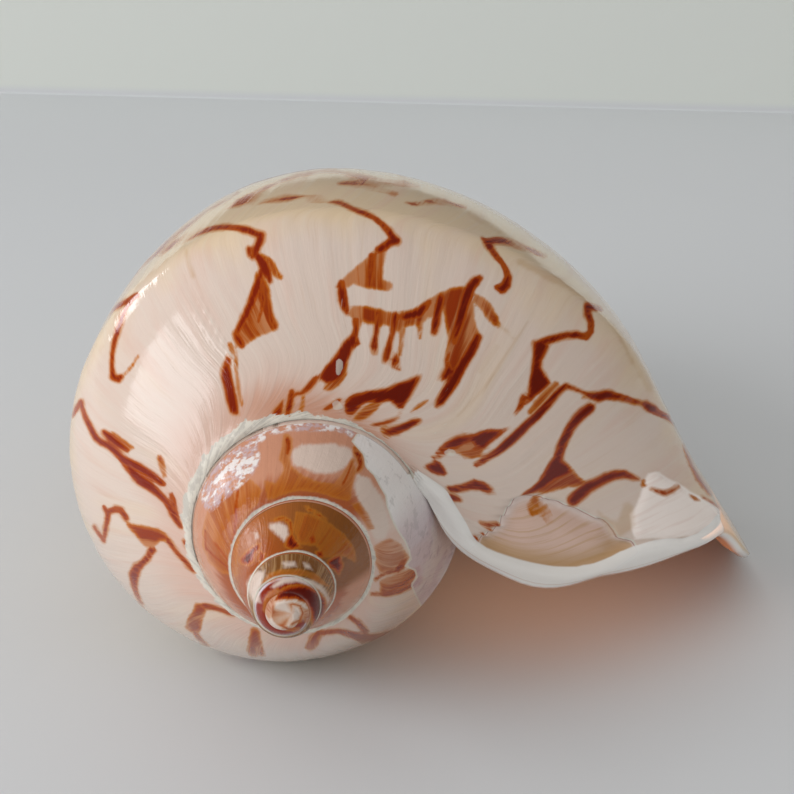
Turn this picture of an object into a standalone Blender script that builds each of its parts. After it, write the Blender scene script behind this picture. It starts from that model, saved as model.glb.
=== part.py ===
"""Noble volute: one large marine shell, resting on its aperture.

The shell is one grown piece. Its surface is a profile from the suture over the
shoulder to the front end, carried round the shell's axis while it grows, so every
point is named by two numbers: turn, counted in whole turns back from the lip, and
place, which is 0 at the suture, 1 at the greatest radius and 2 at the front end.
Radii and drops (distances along the axis from the apex) are in millimetres until
the vertices are made.
"""

import math

import bmesh
import bpy
import numpy as np
from mathutils import Matrix

MM = 0.001

# Growth of the spire, per turn, and the place on each whorl where the next one is laid on
RADIUS_RATE = 0.515
DROP_RATE = 0.560
LAID_PLACE = 0.43
SPIRE_WHORLS = 5
APEX_BLUNTNESS = 2.6

# The first whorls are wider and stand higher than that law, at turns counted along the suture
SPIRE_TURNS = (-5.5, -4.5, -3.5, -2.5, -1.5, -0.9, 0.0)
SPIRE_WIDENING = (1.40, 1.40, 1.34, 1.02, 0.94, 1.00, 1.00)
SPIRE_RAISE = (3.0, 3.0, 3.0, 2.9, 0.3, 0.0, 0.0)

# The last whorl, at stations counted in turns back from the lip
STATION_TURNS = (-1.0, -0.8, -0.5, -0.25, -0.1, 0.0, 0.08, 0.16)
GREATEST_RADIUS = (23.7, 27.3, 34.4, 41.0, 45.5, 54.0, 64.2, 105.0)
GREATEST_DROP = (45.4, 46.6, 51.8, 54.0, 57.4, 59.2, 64.0, 70.5)
SHOULDER_OUT = (1.10, 1.30, 1.66, 1.69, 1.71, 1.74, 1.74, 1.76)
SHOULDER_DOWN = (3.50, 2.30, 1.19, 1.02, 1.02, 1.02, 1.02, 1.02)
BASE_TAPER = (6.0, 3.4, 1.32, 1.10, 1.04, 1.04, 1.04, 1.04)

# The front end of the shell
FRONT_DROP = 144.0
FRONT_RADIUS = 12.5
FRONT_RADIUS_RATE = 0.9
TIP_PLACE = 1.90
TIP_LENGTH = 5.0
FASCIOLE_PLACE = 1.80
FASCIOLE_WIDTH = 0.05
FASCIOLE_HEIGHT = 0.9

# The lip runs ahead of its own suture point, in degrees round the axis
LIP_PLACES = (0.0, 0.12, 0.3, 0.5, 0.75, 0.95, 1.05, 1.15, 1.25, 1.4, 1.7, 1.85, 1.93, 2.0)
LIP_ADVANCE = (0.0, 30.5, 45.6, 40.8, 36.2, 36.4, 41.0, 43.6, 44.6, 41.5, 24.0, 2.0, -28.0, -30.0)
LIP_REACH_BACK = 0.30
THICKNESS_PLACES = (0.0, 0.4, 0.9, 1.2, 1.6, 1.9)
LIP_THICKNESS = (3.0, 4.4, 4.2, 3.2, 2.6, 2.0)
WALL_SHARE = 0.8

# The hollow behind the aperture
HOLLOW_TURNS = 1.00
CORNER_INSET = 0.16
FRONT_INSET = 0.10
INSET_TURNS = 0.03
RIM_TURNS = 0.012
CORNER_FADE = 0.2
FRONT_FADE = 0.1

# The four folds on the columella
FOLD_COUNT = 4
FOLD_FIRST_PLACE = 1.32
FOLD_SPACING = 0.095
FOLD_HALF_WIDTH = 0.022
FOLD_HEIGHT = 1.7
FOLD_SLANT = 0.55
FOLD_RISE_TURNS = 0.06

# How the shell lies: the bearing of the lip's suture point, the axis's dip and its heading
LIP_BEARING = 24.2
AXIS_DIP = 7.2
AXIS_ROLL = 1.3
AXIS_HEADING = -3.1
WORN_DEPTH = 0.3

# Mesh steps
TURN_STEPS = 44
ARC_STEPS = 5
ARC_CROWDING = 1.5
BODY_STEPS = 28
HOLLOW_STEPS = 24
HOLLOW_CROWDING = 1.2
RIM_STEPS = 3
SLOPE_STEP = 0.01
MERGE_DISTANCE = 0.002

SHARP_ANGLE = 60.0
CUT_DEPTH = 20.0

SHELL_COLOUR = (0.80, 0.68, 0.58, 1.0)
SHELL_ROUGHNESS = 0.25


def through_stations(at, stations, values):
    """A smooth curve through the stations, straight beyond the last ones."""
    at = np.asarray(at, float)
    stations = np.asarray(stations, float)
    values = np.asarray(values, float)
    slopes = np.gradient(values, stations)
    left = np.clip(np.searchsorted(stations, at) - 1, 0, len(stations) - 2)
    gap = stations[left + 1] - stations[left]
    u = np.clip((at - stations[left]) / gap, 0.0, 1.0)
    curve = (
        (2 * u**3 - 3 * u**2 + 1) * values[left]
        + (u**3 - 2 * u**2 + u) * gap * slopes[left]
        + (3 * u**2 - 2 * u**3) * values[left + 1]
        + (u**3 - u**2) * gap * slopes[left + 1]
    )
    before = np.minimum(at - stations[0], 0.0) * slopes[0]
    after = np.maximum(at - stations[-1], 0.0) * slopes[-1]
    return curve + before + after


def smooth_step(value):
    u = np.clip(value, 0.0, 1.0)
    return u * u * (3 - 2 * u)


def bump(value, centre, half_width):
    return np.exp(-(((value - centre) / half_width) ** 2))


def suture(turn):
    """Radius and drop of the suture line, which lies on the whorl before it."""
    laid = LAID_PLACE * math.pi / 2
    share_out = math.sin(laid) ** SHOULDER_OUT[0]
    share_down = 1 - math.cos(laid) ** SHOULDER_DOWN[0]
    radius = GREATEST_RADIUS[0] * share_out / (1 - math.exp(-RADIUS_RATE) * (1 - share_out))
    drop = GREATEST_DROP[0] * share_down / (1 - math.exp(-DROP_RATE) * (1 - share_down))
    return radius * np.exp(RADIUS_RATE * turn), drop * np.exp(DROP_RATE * turn)


def profile(place, turn):
    """Radius and drop of the outer surface at a place on the whorl of that turn."""
    place, turn = np.broadcast_arrays(np.asarray(place, float), np.asarray(turn, float))
    late = np.maximum(turn, STATION_TURNS[0])
    early = np.minimum(turn - STATION_TURNS[0], 0.0)
    suture_radius, suture_drop = suture(turn)
    greatest = np.exp(through_stations(late, STATION_TURNS, np.log(GREATEST_RADIUS)))
    greatest = greatest * np.exp(RADIUS_RATE * early)
    depth = np.exp(through_stations(late, STATION_TURNS, np.log(GREATEST_DROP)))
    depth = depth * np.exp(DROP_RATE * early)
    out = through_stations(late, STATION_TURNS, SHOULDER_OUT)
    down = through_stations(late, STATION_TURNS, SHOULDER_DOWN)
    taper = through_stations(late, STATION_TURNS, BASE_TAPER) * np.exp(-RADIUS_RATE * early)
    angle = np.clip(place, 0.0, 1.0) * math.pi / 2
    upper_radius = suture_radius + (greatest - suture_radius) * np.sin(angle) ** out
    upper_drop = suture_drop + (depth - suture_drop) * (1 - np.cos(angle) ** down)
    front = FRONT_RADIUS * np.exp(FRONT_RADIUS_RATE * turn)
    front_angle = np.clip(place - 1, 0.0, TIP_PLACE - 1) * math.pi / 2
    lower_radius = front + (greatest - front) * np.cos(front_angle) ** taper
    lower_radius = lower_radius + FASCIOLE_HEIGHT * bump(place, FASCIOLE_PLACE, FASCIOLE_WIDTH)
    lower_drop = depth + (FRONT_DROP - TIP_LENGTH - depth) * np.sin(front_angle) / math.sin(
        (TIP_PLACE - 1) * math.pi / 2
    )
    tip = np.clip((place - TIP_PLACE) / (2 - TIP_PLACE), 0.0, 1.0) * math.pi / 2
    lower_radius = lower_radius * np.cos(tip)
    lower_drop = lower_drop + TIP_LENGTH * np.sin(tip)
    radius = np.where(place < 1, upper_radius, lower_radius)
    drop = np.where(place < 1, upper_drop, lower_drop)
    along_suture = np.clip(turn + np.minimum(place / LAID_PLACE, 1.0), SPIRE_TURNS[0], 0.0)
    radius = radius * through_stations(along_suture, SPIRE_TURNS, SPIRE_WIDENING)
    raised = through_stations(along_suture, SPIRE_TURNS, SPIRE_RAISE)
    return radius, np.hypot(drop, APEX_BLUNTNESS) - raised


def folds(place, turn):
    """Height of the oblique folds on the columella, inside the aperture."""
    height = 0.0
    for number in range(FOLD_COUNT):
        centre = FOLD_FIRST_PLACE + FOLD_SPACING * number - FOLD_SLANT * (turn + 1)
        height = height + FOLD_HEIGHT * bump(place, centre, FOLD_HALF_WIDTH)
    return height * smooth_step((-1.0 - turn) / FOLD_RISE_TURNS)


def lip_advance(place):
    return through_stations(place, LIP_PLACES, LIP_ADVANCE) / 360.0


def to_shell(radius, drop, turn):
    """Points in the shell's own frame: axis along Z, apex up at the origin."""
    bearing = math.radians(LIP_BEARING) - 2 * math.pi * turn
    return np.stack([radius * np.cos(bearing), radius * np.sin(bearing), -drop], -1)


def outer_rows():
    """Rows of points over one whole turn, each from the apex to the front end."""
    arc_places = LAID_PLACE * np.linspace(0.0, 1.0, ARC_STEPS + 1)[:-1] ** ARC_CROWDING
    spire_places = np.tile(arc_places, SPIRE_WHORLS)
    spire_back = np.repeat(np.arange(SPIRE_WHORLS, 0, -1), ARC_STEPS)
    body_places = np.concatenate(
        [arc_places, np.linspace(LAID_PLACE, 2.0, BODY_STEPS - ARC_STEPS + 1)]
    )
    rows = []
    for row_turn in np.linspace(-1.0, 0.0, TURN_STEPS + 1):
        spire = to_shell(*profile(spire_places, row_turn - spire_back), row_turn - spire_back)
        ahead = lip_advance(body_places) * smooth_step(1 + row_turn / LIP_REACH_BACK)
        turn = row_turn + ahead
        body = to_shell(*profile(body_places, turn), turn)
        rows.append(np.concatenate([spire, body]))
    return rows, body_places


def inner_profile(place, turn, thickness):
    """The outer profile moved inwards by the wall's thickness."""
    radius, drop = profile(place, turn)
    radius_a, drop_a = profile(np.maximum(place - SLOPE_STEP, 0.0), turn)
    radius_b, drop_b = profile(np.minimum(place + SLOPE_STEP, TIP_PLACE), turn)
    along_radius = radius_b - radius_a
    along_drop = drop_b - drop_a
    length = np.hypot(along_radius, along_drop) + 1e-9
    return radius - thickness * along_drop / length, drop + thickness * along_radius / length


def hollow_rows(body_places):
    """Sections of the hollow, from the rim of the aperture inwards."""
    inside = body_places[body_places >= LAID_PLACE - 1e-6]
    ends = smooth_step(body_places / CORNER_FADE) * smooth_step((2 - body_places) / FRONT_FADE)
    lip_thickness = through_stations(body_places, THICKNESS_PLACES, LIP_THICKNESS)
    inwards = np.linspace(0.0, 1.0, HOLLOW_STEPS + 1)[1:] ** HOLLOW_CROWDING
    depths = np.concatenate(
        [np.linspace(0.0, RIM_TURNS, RIM_STEPS + 1), RIM_TURNS + HOLLOW_TURNS * inwards]
    )
    rows = []
    for depth in depths:
        rounding = min(depth / RIM_TURNS, 1.0) * math.pi
        inset = smooth_step(depth / INSET_TURNS)
        corner = CORNER_INSET * inset
        front = FRONT_INSET * inset
        share = (1 - math.cos(rounding)) / 2
        deep = max(depth - RIM_TURNS, 0.0) / HOLLOW_TURNS
        thickness = lip_thickness * share * (1 - (1 - WALL_SHARE) * deep)
        full = ends + (1 - ends) * inset
        ahead = lip_advance(body_places) * smooth_step(1 - depth / LIP_REACH_BACK)
        ceiling = corner + (2 - front - corner) * body_places / 2
        ceiling_turn = ahead - depth * share
        radius, drop = inner_profile(ceiling, ceiling_turn, thickness * full)
        bulge = math.sin(rounding) * lip_thickness / 2 * full
        ceiling_turn = ceiling_turn + bulge / (2 * math.pi * np.maximum(radius, FRONT_RADIUS))
        floor = inside + corner - (corner + front) * (inside - inside[0]) / (2 - inside[0])
        floor_turn = np.full_like(floor, -1.0 - depth)
        floor_radius, floor_drop = profile(floor, floor_turn)
        floor_radius = floor_radius + folds(floor, floor_turn)
        across = to_shell(radius, drop, ceiling_turn)
        back = to_shell(floor_radius, floor_drop, floor_turn)
        rows.append(np.concatenate([across, back[::-1]]))
    return rows


def add_rows(mesh, rows, closed):
    """Verts and quads of a loft; a closed loft joins each row's last point to its first."""
    lines = [[mesh.verts.new(point) for point in row] for row in rows]
    for line, following in zip(lines, lines[1:]):
        count = len(line)
        for here in range(count if closed else count - 1):
            there = (here + 1) % count
            mesh.faces.new((line[here], line[there], following[there], following[here]))
    return lines


def close_hollow(mesh, line, ceiling_count, floor_count):
    """Faces across the last section of the hollow, from its ceiling to its floor."""
    ceiling = line[:ceiling_count]
    floor = line[ceiling_count:][::-1]
    extra = ceiling_count - floor_count
    for here in range(extra):
        mesh.faces.new((ceiling[here + 1], ceiling[here], floor[0]))
    for here in range(floor_count - 1):
        mesh.faces.new(
            (ceiling[extra + here + 1], ceiling[extra + here], floor[here], floor[here + 1])
        )


def shell_mesh():
    """The whole shell as one closed mesh, in its own frame and in millimetres."""
    mesh = bmesh.new()
    rows, body_places = outer_rows()
    add_rows(mesh, rows, closed=False)
    sections = hollow_rows(body_places)
    lines = add_rows(mesh, sections, closed=True)
    floor_count = int(np.count_nonzero(body_places >= LAID_PLACE - 1e-6))
    close_hollow(mesh, lines[-1], len(body_places), floor_count)
    bmesh.ops.remove_doubles(mesh, verts=mesh.verts, dist=MERGE_DISTANCE)
    bmesh.ops.dissolve_degenerate(mesh, dist=MERGE_DISTANCE, edges=mesh.edges)
    rim = [edge for edge in mesh.edges if edge.is_boundary]
    bmesh.ops.holes_fill(mesh, edges=rim, sides=0)
    bmesh.ops.triangulate(mesh, faces=mesh.faces)
    bmesh.ops.recalc_face_normals(mesh, faces=mesh.faces)
    if mesh.calc_volume(signed=True) < 0:
        bmesh.ops.reverse_faces(mesh, faces=mesh.faces)
    return mesh


def resting_turn():
    """Rotation from the shell's own frame to the way it lies on a table."""
    roll = Matrix.Rotation(math.radians(AXIS_ROLL), 4, "Z")
    dip = Matrix.Rotation(math.radians(90 - AXIS_DIP), 4, "X")
    heading = Matrix.Rotation(math.radians(AXIS_HEADING), 4, "Z")
    return heading @ dip @ roll


def shell_material():
    material = bpy.data.materials.new("glossy_shell")
    material.use_nodes = True
    surface = material.node_tree.nodes["Principled BSDF"]
    surface.inputs["Base Color"].default_value = SHELL_COLOUR
    surface.inputs["Roughness"].default_value = SHELL_ROUGHNESS
    surface.inputs["Metallic"].default_value = 0.0
    return material


def new_collection(name):
    collection = bpy.data.collections.new(name)
    bpy.context.scene.collection.children.link(collection)
    return collection


def clear_scene():
    for old in list(bpy.data.objects):
        bpy.data.objects.remove(old, do_unlink=True)


def lay_on_table(mesh):
    """Scale to metres, turn to rest, and put the middle of the base at the origin."""
    bmesh.ops.transform(mesh, matrix=resting_turn() @ Matrix.Scale(MM, 4), verts=mesh.verts)
    points = np.array([vert.co for vert in mesh.verts])
    low = points.min(axis=0)
    high = points.max(axis=0)
    middle = (low + high) / 2
    shift = (-middle[0], -middle[1], -low[2] - WORN_DEPTH * MM)
    bmesh.ops.translate(mesh, vec=shift, verts=mesh.verts)
    return high - low


def make_shell(collection):
    mesh = shell_mesh()
    size = lay_on_table(mesh)
    data = bpy.data.meshes.new("shell")
    mesh.to_mesh(data)
    mesh.free()
    data.materials.append(shell_material())
    shell = bpy.data.objects.new("shell", data)
    collection.objects.link(shell)
    for polygon in data.polygons:
        polygon.use_smooth = True
    data.set_sharp_from_angle(angle=math.radians(SHARP_ANGLE))
    return shell, size


def make_worn_cut(shell, size, collection):
    """A block below the table plane, which leaves small worn flats where the shell rests."""
    bpy.ops.mesh.primitive_cube_add(size=1.0, location=(0.0, 0.0, -CUT_DEPTH * MM / 2))
    cutter = bpy.context.object
    cutter.name = "table_cut"
    cutter.scale = (2 * size[0], 2 * size[1], CUT_DEPTH * MM)
    cutter.hide_render = True
    cutter.display_type = "WIRE"
    for holder in list(cutter.users_collection):
        holder.objects.unlink(cutter)
    collection.objects.link(cutter)
    cut = shell.modifiers.new("worn_flats", "BOOLEAN")
    cut.operation = "DIFFERENCE"
    cut.solver = "EXACT"
    cut.object = cutter


def main():
    clear_scene()
    shell, size = make_shell(new_collection("noble_volute"))
    make_worn_cut(shell, size, new_collection("cutters"))


main()
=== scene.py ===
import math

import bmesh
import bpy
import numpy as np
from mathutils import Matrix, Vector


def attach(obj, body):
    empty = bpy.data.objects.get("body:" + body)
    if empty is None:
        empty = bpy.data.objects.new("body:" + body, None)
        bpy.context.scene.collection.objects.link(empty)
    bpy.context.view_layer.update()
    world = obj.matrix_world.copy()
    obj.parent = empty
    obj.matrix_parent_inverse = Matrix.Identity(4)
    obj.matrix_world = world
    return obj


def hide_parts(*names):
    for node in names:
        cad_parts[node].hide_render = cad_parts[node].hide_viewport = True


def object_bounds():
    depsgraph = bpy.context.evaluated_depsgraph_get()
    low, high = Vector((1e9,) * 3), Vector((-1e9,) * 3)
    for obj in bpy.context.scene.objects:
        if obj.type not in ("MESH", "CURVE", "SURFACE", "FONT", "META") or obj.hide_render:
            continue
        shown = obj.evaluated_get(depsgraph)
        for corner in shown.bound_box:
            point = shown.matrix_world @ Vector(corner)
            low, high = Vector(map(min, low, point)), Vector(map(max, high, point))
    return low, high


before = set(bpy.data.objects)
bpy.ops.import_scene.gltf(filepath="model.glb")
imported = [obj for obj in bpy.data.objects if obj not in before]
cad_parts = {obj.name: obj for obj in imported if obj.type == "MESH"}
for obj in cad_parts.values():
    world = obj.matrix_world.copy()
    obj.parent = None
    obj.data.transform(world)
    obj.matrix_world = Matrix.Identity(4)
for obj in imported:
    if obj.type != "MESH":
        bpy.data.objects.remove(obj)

# %% [markdown]
# # A noble volute
# The object is one sea shell. It was built by an animal that laid new shell along one edge,
# the outer lip, while it turned round an axis, so everything on it follows that spiral: the
# whorls, the fine growth lines, the mended breaks. The loaded solid is a plain faceted copy of
# the shell. The box round it is kept here, because the finished shell has to stay that size.

MM = 0.001
FAR = 99.0
NEVER_ZERO = 1e-9
cad_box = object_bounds()
print("solid's box in mm:", [[round(value / MM, 1) for value in corner] for corner in cad_box])

# %% [markdown]
# ## The growth law
# A spiral shell can't be pushed and pulled out of a primitive and stay true: each whorl is the
# one before it, grown by the same share. So the surface is written as a law with two numbers.
# Turn counts whole turns back from the lip, and place runs over a whorl: 0 at the suture, 1 at
# the greatest radius and 2 at the front end. The law gives a radius and a drop, the distance
# along the axis from the apex. The same sizes shape the solid. Lengths are in millimetres.

# %% Sizes of the spire and of the last whorl
RADIUS_RATE = 0.515
DROP_RATE = 0.560
LAID_PLACE = 0.43
SPIRE_WHORLS = 5
APEX_BLUNTNESS = 2.6
SPIRE_TURNS = (-5.5, -4.5, -3.5, -2.5, -1.5, -0.9, 0.0)
SPIRE_WIDENING = (1.40, 1.40, 1.34, 1.02, 0.94, 1.00, 1.00)
SPIRE_RAISE = (3.0, 3.0, 3.0, 2.9, 0.3, 0.0, 0.0)
STATION_TURNS = (-1.0, -0.8, -0.5, -0.25, -0.1, 0.0, 0.08, 0.16)
GREATEST_RADIUS = (23.7, 27.3, 34.4, 41.0, 45.5, 54.0, 64.2, 105.0)
GREATEST_DROP = (45.4, 46.6, 51.8, 54.0, 57.4, 59.2, 64.0, 70.5)
SHOULDER_OUT = (1.10, 1.30, 1.66, 1.69, 1.71, 1.74, 1.74, 1.76)
SHOULDER_DOWN = (3.50, 2.30, 1.19, 1.02, 1.02, 1.02, 1.02, 1.02)
BASE_TAPER = (6.0, 3.4, 1.32, 1.10, 1.04, 1.04, 1.04, 1.04)
FRONT_DROP = 144.0
FRONT_RADIUS = 12.5
FRONT_RADIUS_RATE = 0.9
TIP_PLACE = 1.90
TIP_LENGTH = 5.0
FASCIOLE_PLACE = 1.80
FASCIOLE_WIDTH = 0.05
FASCIOLE_HEIGHT = 0.9
LIP_BEARING = 24.2
print("length along the axis:", FRONT_DROP, "mm, with", SPIRE_WHORLS, "whorls above the last")


# %% Curves that the law is drawn with
def through_stations(at, stations, values):
    """A smooth curve through the stations, straight beyond the last ones."""
    at = np.asarray(at, float)
    stations = np.asarray(stations, float)
    values = np.asarray(values, float)
    slopes = np.gradient(values, stations)
    left = np.clip(np.searchsorted(stations, at) - 1, 0, len(stations) - 2)
    gap = stations[left + 1] - stations[left]
    u = np.clip((at - stations[left]) / gap, 0.0, 1.0)
    curve = (
        (2 * u**3 - 3 * u**2 + 1) * values[left]
        + (u**3 - 2 * u**2 + u) * gap * slopes[left]
        + (3 * u**2 - 2 * u**3) * values[left + 1]
        + (u**3 - u**2) * gap * slopes[left + 1]
    )
    before = np.minimum(at - stations[0], 0.0) * slopes[0]
    after = np.maximum(at - stations[-1], 0.0) * slopes[-1]
    return curve + before + after


def smooth_step(value):
    u = np.clip(value, 0.0, 1.0)
    return u * u * (3 - 2 * u)


def bump(value, centre, half_width):
    return np.exp(-(((value - centre) / half_width) ** 2))


print("a smooth step at a tenth of its way:", round(float(smooth_step(0.1)), 3))


# %% The law itself
def suture(turn):
    """Radius and drop of the suture line, which lies on the whorl before it."""
    laid = LAID_PLACE * math.pi / 2
    share_out = math.sin(laid) ** SHOULDER_OUT[0]
    share_down = 1 - math.cos(laid) ** SHOULDER_DOWN[0]
    radius = GREATEST_RADIUS[0] * share_out / (1 - math.exp(-RADIUS_RATE) * (1 - share_out))
    drop = GREATEST_DROP[0] * share_down / (1 - math.exp(-DROP_RATE) * (1 - share_down))
    return radius * np.exp(RADIUS_RATE * turn), drop * np.exp(DROP_RATE * turn)


def profile(place, turn):
    """Radius and drop of the outer surface at a place on the whorl of that turn."""
    place, turn = np.broadcast_arrays(np.asarray(place, float), np.asarray(turn, float))
    late = np.maximum(turn, STATION_TURNS[0])
    early = np.minimum(turn - STATION_TURNS[0], 0.0)
    suture_radius, suture_drop = suture(turn)
    greatest = np.exp(through_stations(late, STATION_TURNS, np.log(GREATEST_RADIUS)))
    greatest = greatest * np.exp(RADIUS_RATE * early)
    depth = np.exp(through_stations(late, STATION_TURNS, np.log(GREATEST_DROP)))
    depth = depth * np.exp(DROP_RATE * early)
    out = through_stations(late, STATION_TURNS, SHOULDER_OUT)
    down = through_stations(late, STATION_TURNS, SHOULDER_DOWN)
    taper = through_stations(late, STATION_TURNS, BASE_TAPER) * np.exp(-RADIUS_RATE * early)
    angle = np.clip(place, 0.0, 1.0) * math.pi / 2
    upper_radius = suture_radius + (greatest - suture_radius) * np.sin(angle) ** out
    upper_drop = suture_drop + (depth - suture_drop) * (1 - np.cos(angle) ** down)
    front = FRONT_RADIUS * np.exp(FRONT_RADIUS_RATE * turn)
    front_angle = np.clip(place - 1, 0.0, TIP_PLACE - 1) * math.pi / 2
    lower_radius = front + (greatest - front) * np.cos(front_angle) ** taper
    lower_radius = lower_radius + FASCIOLE_HEIGHT * bump(place, FASCIOLE_PLACE, FASCIOLE_WIDTH)
    base_share = np.sin(front_angle) / math.sin((TIP_PLACE - 1) * math.pi / 2)
    lower_drop = depth + (FRONT_DROP - TIP_LENGTH - depth) * base_share
    tip = np.clip((place - TIP_PLACE) / (2 - TIP_PLACE), 0.0, 1.0) * math.pi / 2
    lower_radius = lower_radius * np.cos(tip)
    lower_drop = lower_drop + TIP_LENGTH * np.sin(tip)
    radius = np.where(place < 1, upper_radius, lower_radius)
    drop = np.where(place < 1, upper_drop, lower_drop)
    along_suture = np.clip(turn + np.minimum(place / LAID_PLACE, 1.0), SPIRE_TURNS[0], 0.0)
    radius = radius * through_stations(along_suture, SPIRE_TURNS, SPIRE_WIDENING)
    raised = through_stations(along_suture, SPIRE_TURNS, SPIRE_RAISE)
    return radius, np.hypot(drop, APEX_BLUNTNESS) - raised


def to_shell(radius, drop, turn):
    """Points in the shell's own frame: axis along Z, apex up at the origin."""
    bearing = math.radians(LIP_BEARING) - 2 * math.pi * turn
    return np.stack([radius * np.cos(bearing), radius * np.sin(bearing), -drop], -1)


print("suture at the lip, radius and drop in mm:", [round(float(v), 1) for v in suture(0.0)])

# %% [markdown]
# ## The lip, the hollow and the folds
# The outer lip isn't a straight cut: it sweeps ahead of the point where it meets the whorl
# before it, and flares to a far corner. Behind it the hollow follows the same spiral inwards.
# Its ceiling is the outer surface moved in by the wall's thickness, and its floor is the whorl
# before, with four slanting folds on the columella.

# %% Sizes of the lip and of the hollow
LIP_PLACES = (0.0, 0.12, 0.3, 0.5, 0.75, 0.95, 1.05, 1.15, 1.25, 1.4, 1.7, 1.85, 1.93, 2.0)
LIP_ADVANCE = (0.0, 28.8, 43.8, 39.6, 35.8, 36.4, 41.0, 43.6, 44.6, 41.5, 24.0, 2.0, -28.0, -30.0)
LIP_REACH_BACK = 0.30
THICKNESS_PLACES = (0.0, 0.4, 0.9, 1.2, 1.6, 1.9)
LIP_THICKNESS = (3.0, 4.4, 4.2, 3.2, 2.6, 2.0)
WALL_SHARE = 0.8
HOLLOW_TURNS = 1.00
CORNER_INSET = 0.16
FRONT_INSET = 0.10
INSET_TURNS = 0.03
RIM_TURNS = 0.012
CORNER_FADE = 0.2
FRONT_FADE = 0.1
FOLD_COUNT = 4
FOLD_FIRST_PLACE = 1.32
FOLD_SPACING = 0.095
FOLD_HALF_WIDTH = 0.022
FOLD_HEIGHT = 1.7
FOLD_SLANT = 0.55
FOLD_RISE_TURNS = 0.06
NORMAL_STEP = 0.01


def lip_advance(place):
    return through_stations(place, LIP_PLACES, LIP_ADVANCE) / 360.0


def folds(place, turn):
    """Height of the oblique folds on the columella, inside the aperture."""
    height = 0.0
    for number in range(FOLD_COUNT):
        centre = FOLD_FIRST_PLACE + FOLD_SPACING * number - FOLD_SLANT * (turn + 1)
        height = height + FOLD_HEIGHT * bump(place, centre, FOLD_HALF_WIDTH)
    return height * smooth_step((-1.0 - turn) / FOLD_RISE_TURNS)


def inner_profile(place, turn, thickness):
    """The outer profile moved inwards by the wall's thickness."""
    radius, drop = profile(place, turn)
    radius_a, drop_a = profile(np.maximum(place - NORMAL_STEP, 0.0), turn)
    radius_b, drop_b = profile(np.minimum(place + NORMAL_STEP, TIP_PLACE), turn)
    along_radius = radius_b - radius_a
    along_drop = drop_b - drop_a
    length = np.hypot(along_radius, along_drop) + NEVER_ZERO
    return radius - thickness * along_drop / length, drop + thickness * along_radius / length


widest = float(np.max(LIP_ADVANCE))
print("the lip runs at most", widest, "degrees ahead of its suture point")

# %% [markdown]
# ## Laying out the mesh
# The whole skin is two sheets of points. The outer sheet has one row for each small step of
# the last turn, and each row runs from the apex over every whorl to the front end. The inner
# sheet starts on the lip's outer edge, rolls round the rim and follows the hollow inwards.
# Every point remembers its turn, its place, how far it lies from its suture and how far it
# lies inside the lip, because the colours and the growth lines are laid out in those terms.

# %% The outer sheet
TURN_STEPS = 388
ROW_STATIONS = (-1.0, -0.48, -0.30, 0.0)
ROW_SHARES = (0.0, 0.25, 0.45, 1.0)
WHORL_COLUMNS = 21
CROWN_COLUMNS = 76
CROWN_PLACE = 1.02
BASE_COLUMNS = 27
CROWDING = 1.15

upper = LAID_PLACE * np.linspace(0.0, 1.0, WHORL_COLUMNS + 1)[:-1] ** CROWDING
crown = np.linspace(LAID_PLACE, CROWN_PLACE, CROWN_COLUMNS + 1)[:-1]
base = np.linspace(CROWN_PLACE, 2.0, BASE_COLUMNS + 1)
body_places = np.concatenate([upper, crown, base])
spire_places = np.tile(upper, SPIRE_WHORLS)
spire_back = np.repeat(np.arange(SPIRE_WHORLS, 0, -1), WHORL_COLUMNS)
row_turns = np.interp(np.linspace(0.0, 1.0, TURN_STEPS + 1), ROW_SHARES, ROW_STATIONS)[:, None]
places = np.concatenate([spire_places, body_places])[None, :] + 0 * row_turns
back = np.concatenate([spire_back, np.zeros(len(body_places))])[None, :]
ahead = lip_advance(body_places)[None, :] * smooth_step(1 + row_turns / LIP_REACH_BACK)
ahead = np.concatenate([np.zeros((len(row_turns), len(spire_places))), ahead], axis=1)
turns = row_turns - back + ahead
outer = to_shell(*profile(places, turns), turns)


def along(points, axis):
    """Running length over a sheet of points, along its rows or its columns."""
    steps = np.linalg.norm(np.diff(points, axis=axis), axis=-1)
    return np.insert(np.cumsum(steps, axis=axis), 0, 0.0, axis=axis)


run = along(outer, 1)
starts = np.arange(SPIRE_WHORLS + 1) * WHORL_COLUMNS
whorl_of = np.searchsorted(starts, np.arange(places.shape[1]), side="right") - 1
from_suture = run - run[:, starts[whorl_of]]
ends_of = np.append(starts[1:], starts[-1])[whorl_of]
to_suture = np.where(places < LAID_PLACE, run[:, ends_of] - run, FAR)
to_suture[:, starts[-1]:] = FAR
print("outer sheet:", outer.shape[0], "rows of", outer.shape[1], "points")

# %% The inner sheet
HOLLOW_STEPS = 32
HOLLOW_CROWDING = 1.6
RIM_STEPS = 8

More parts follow.
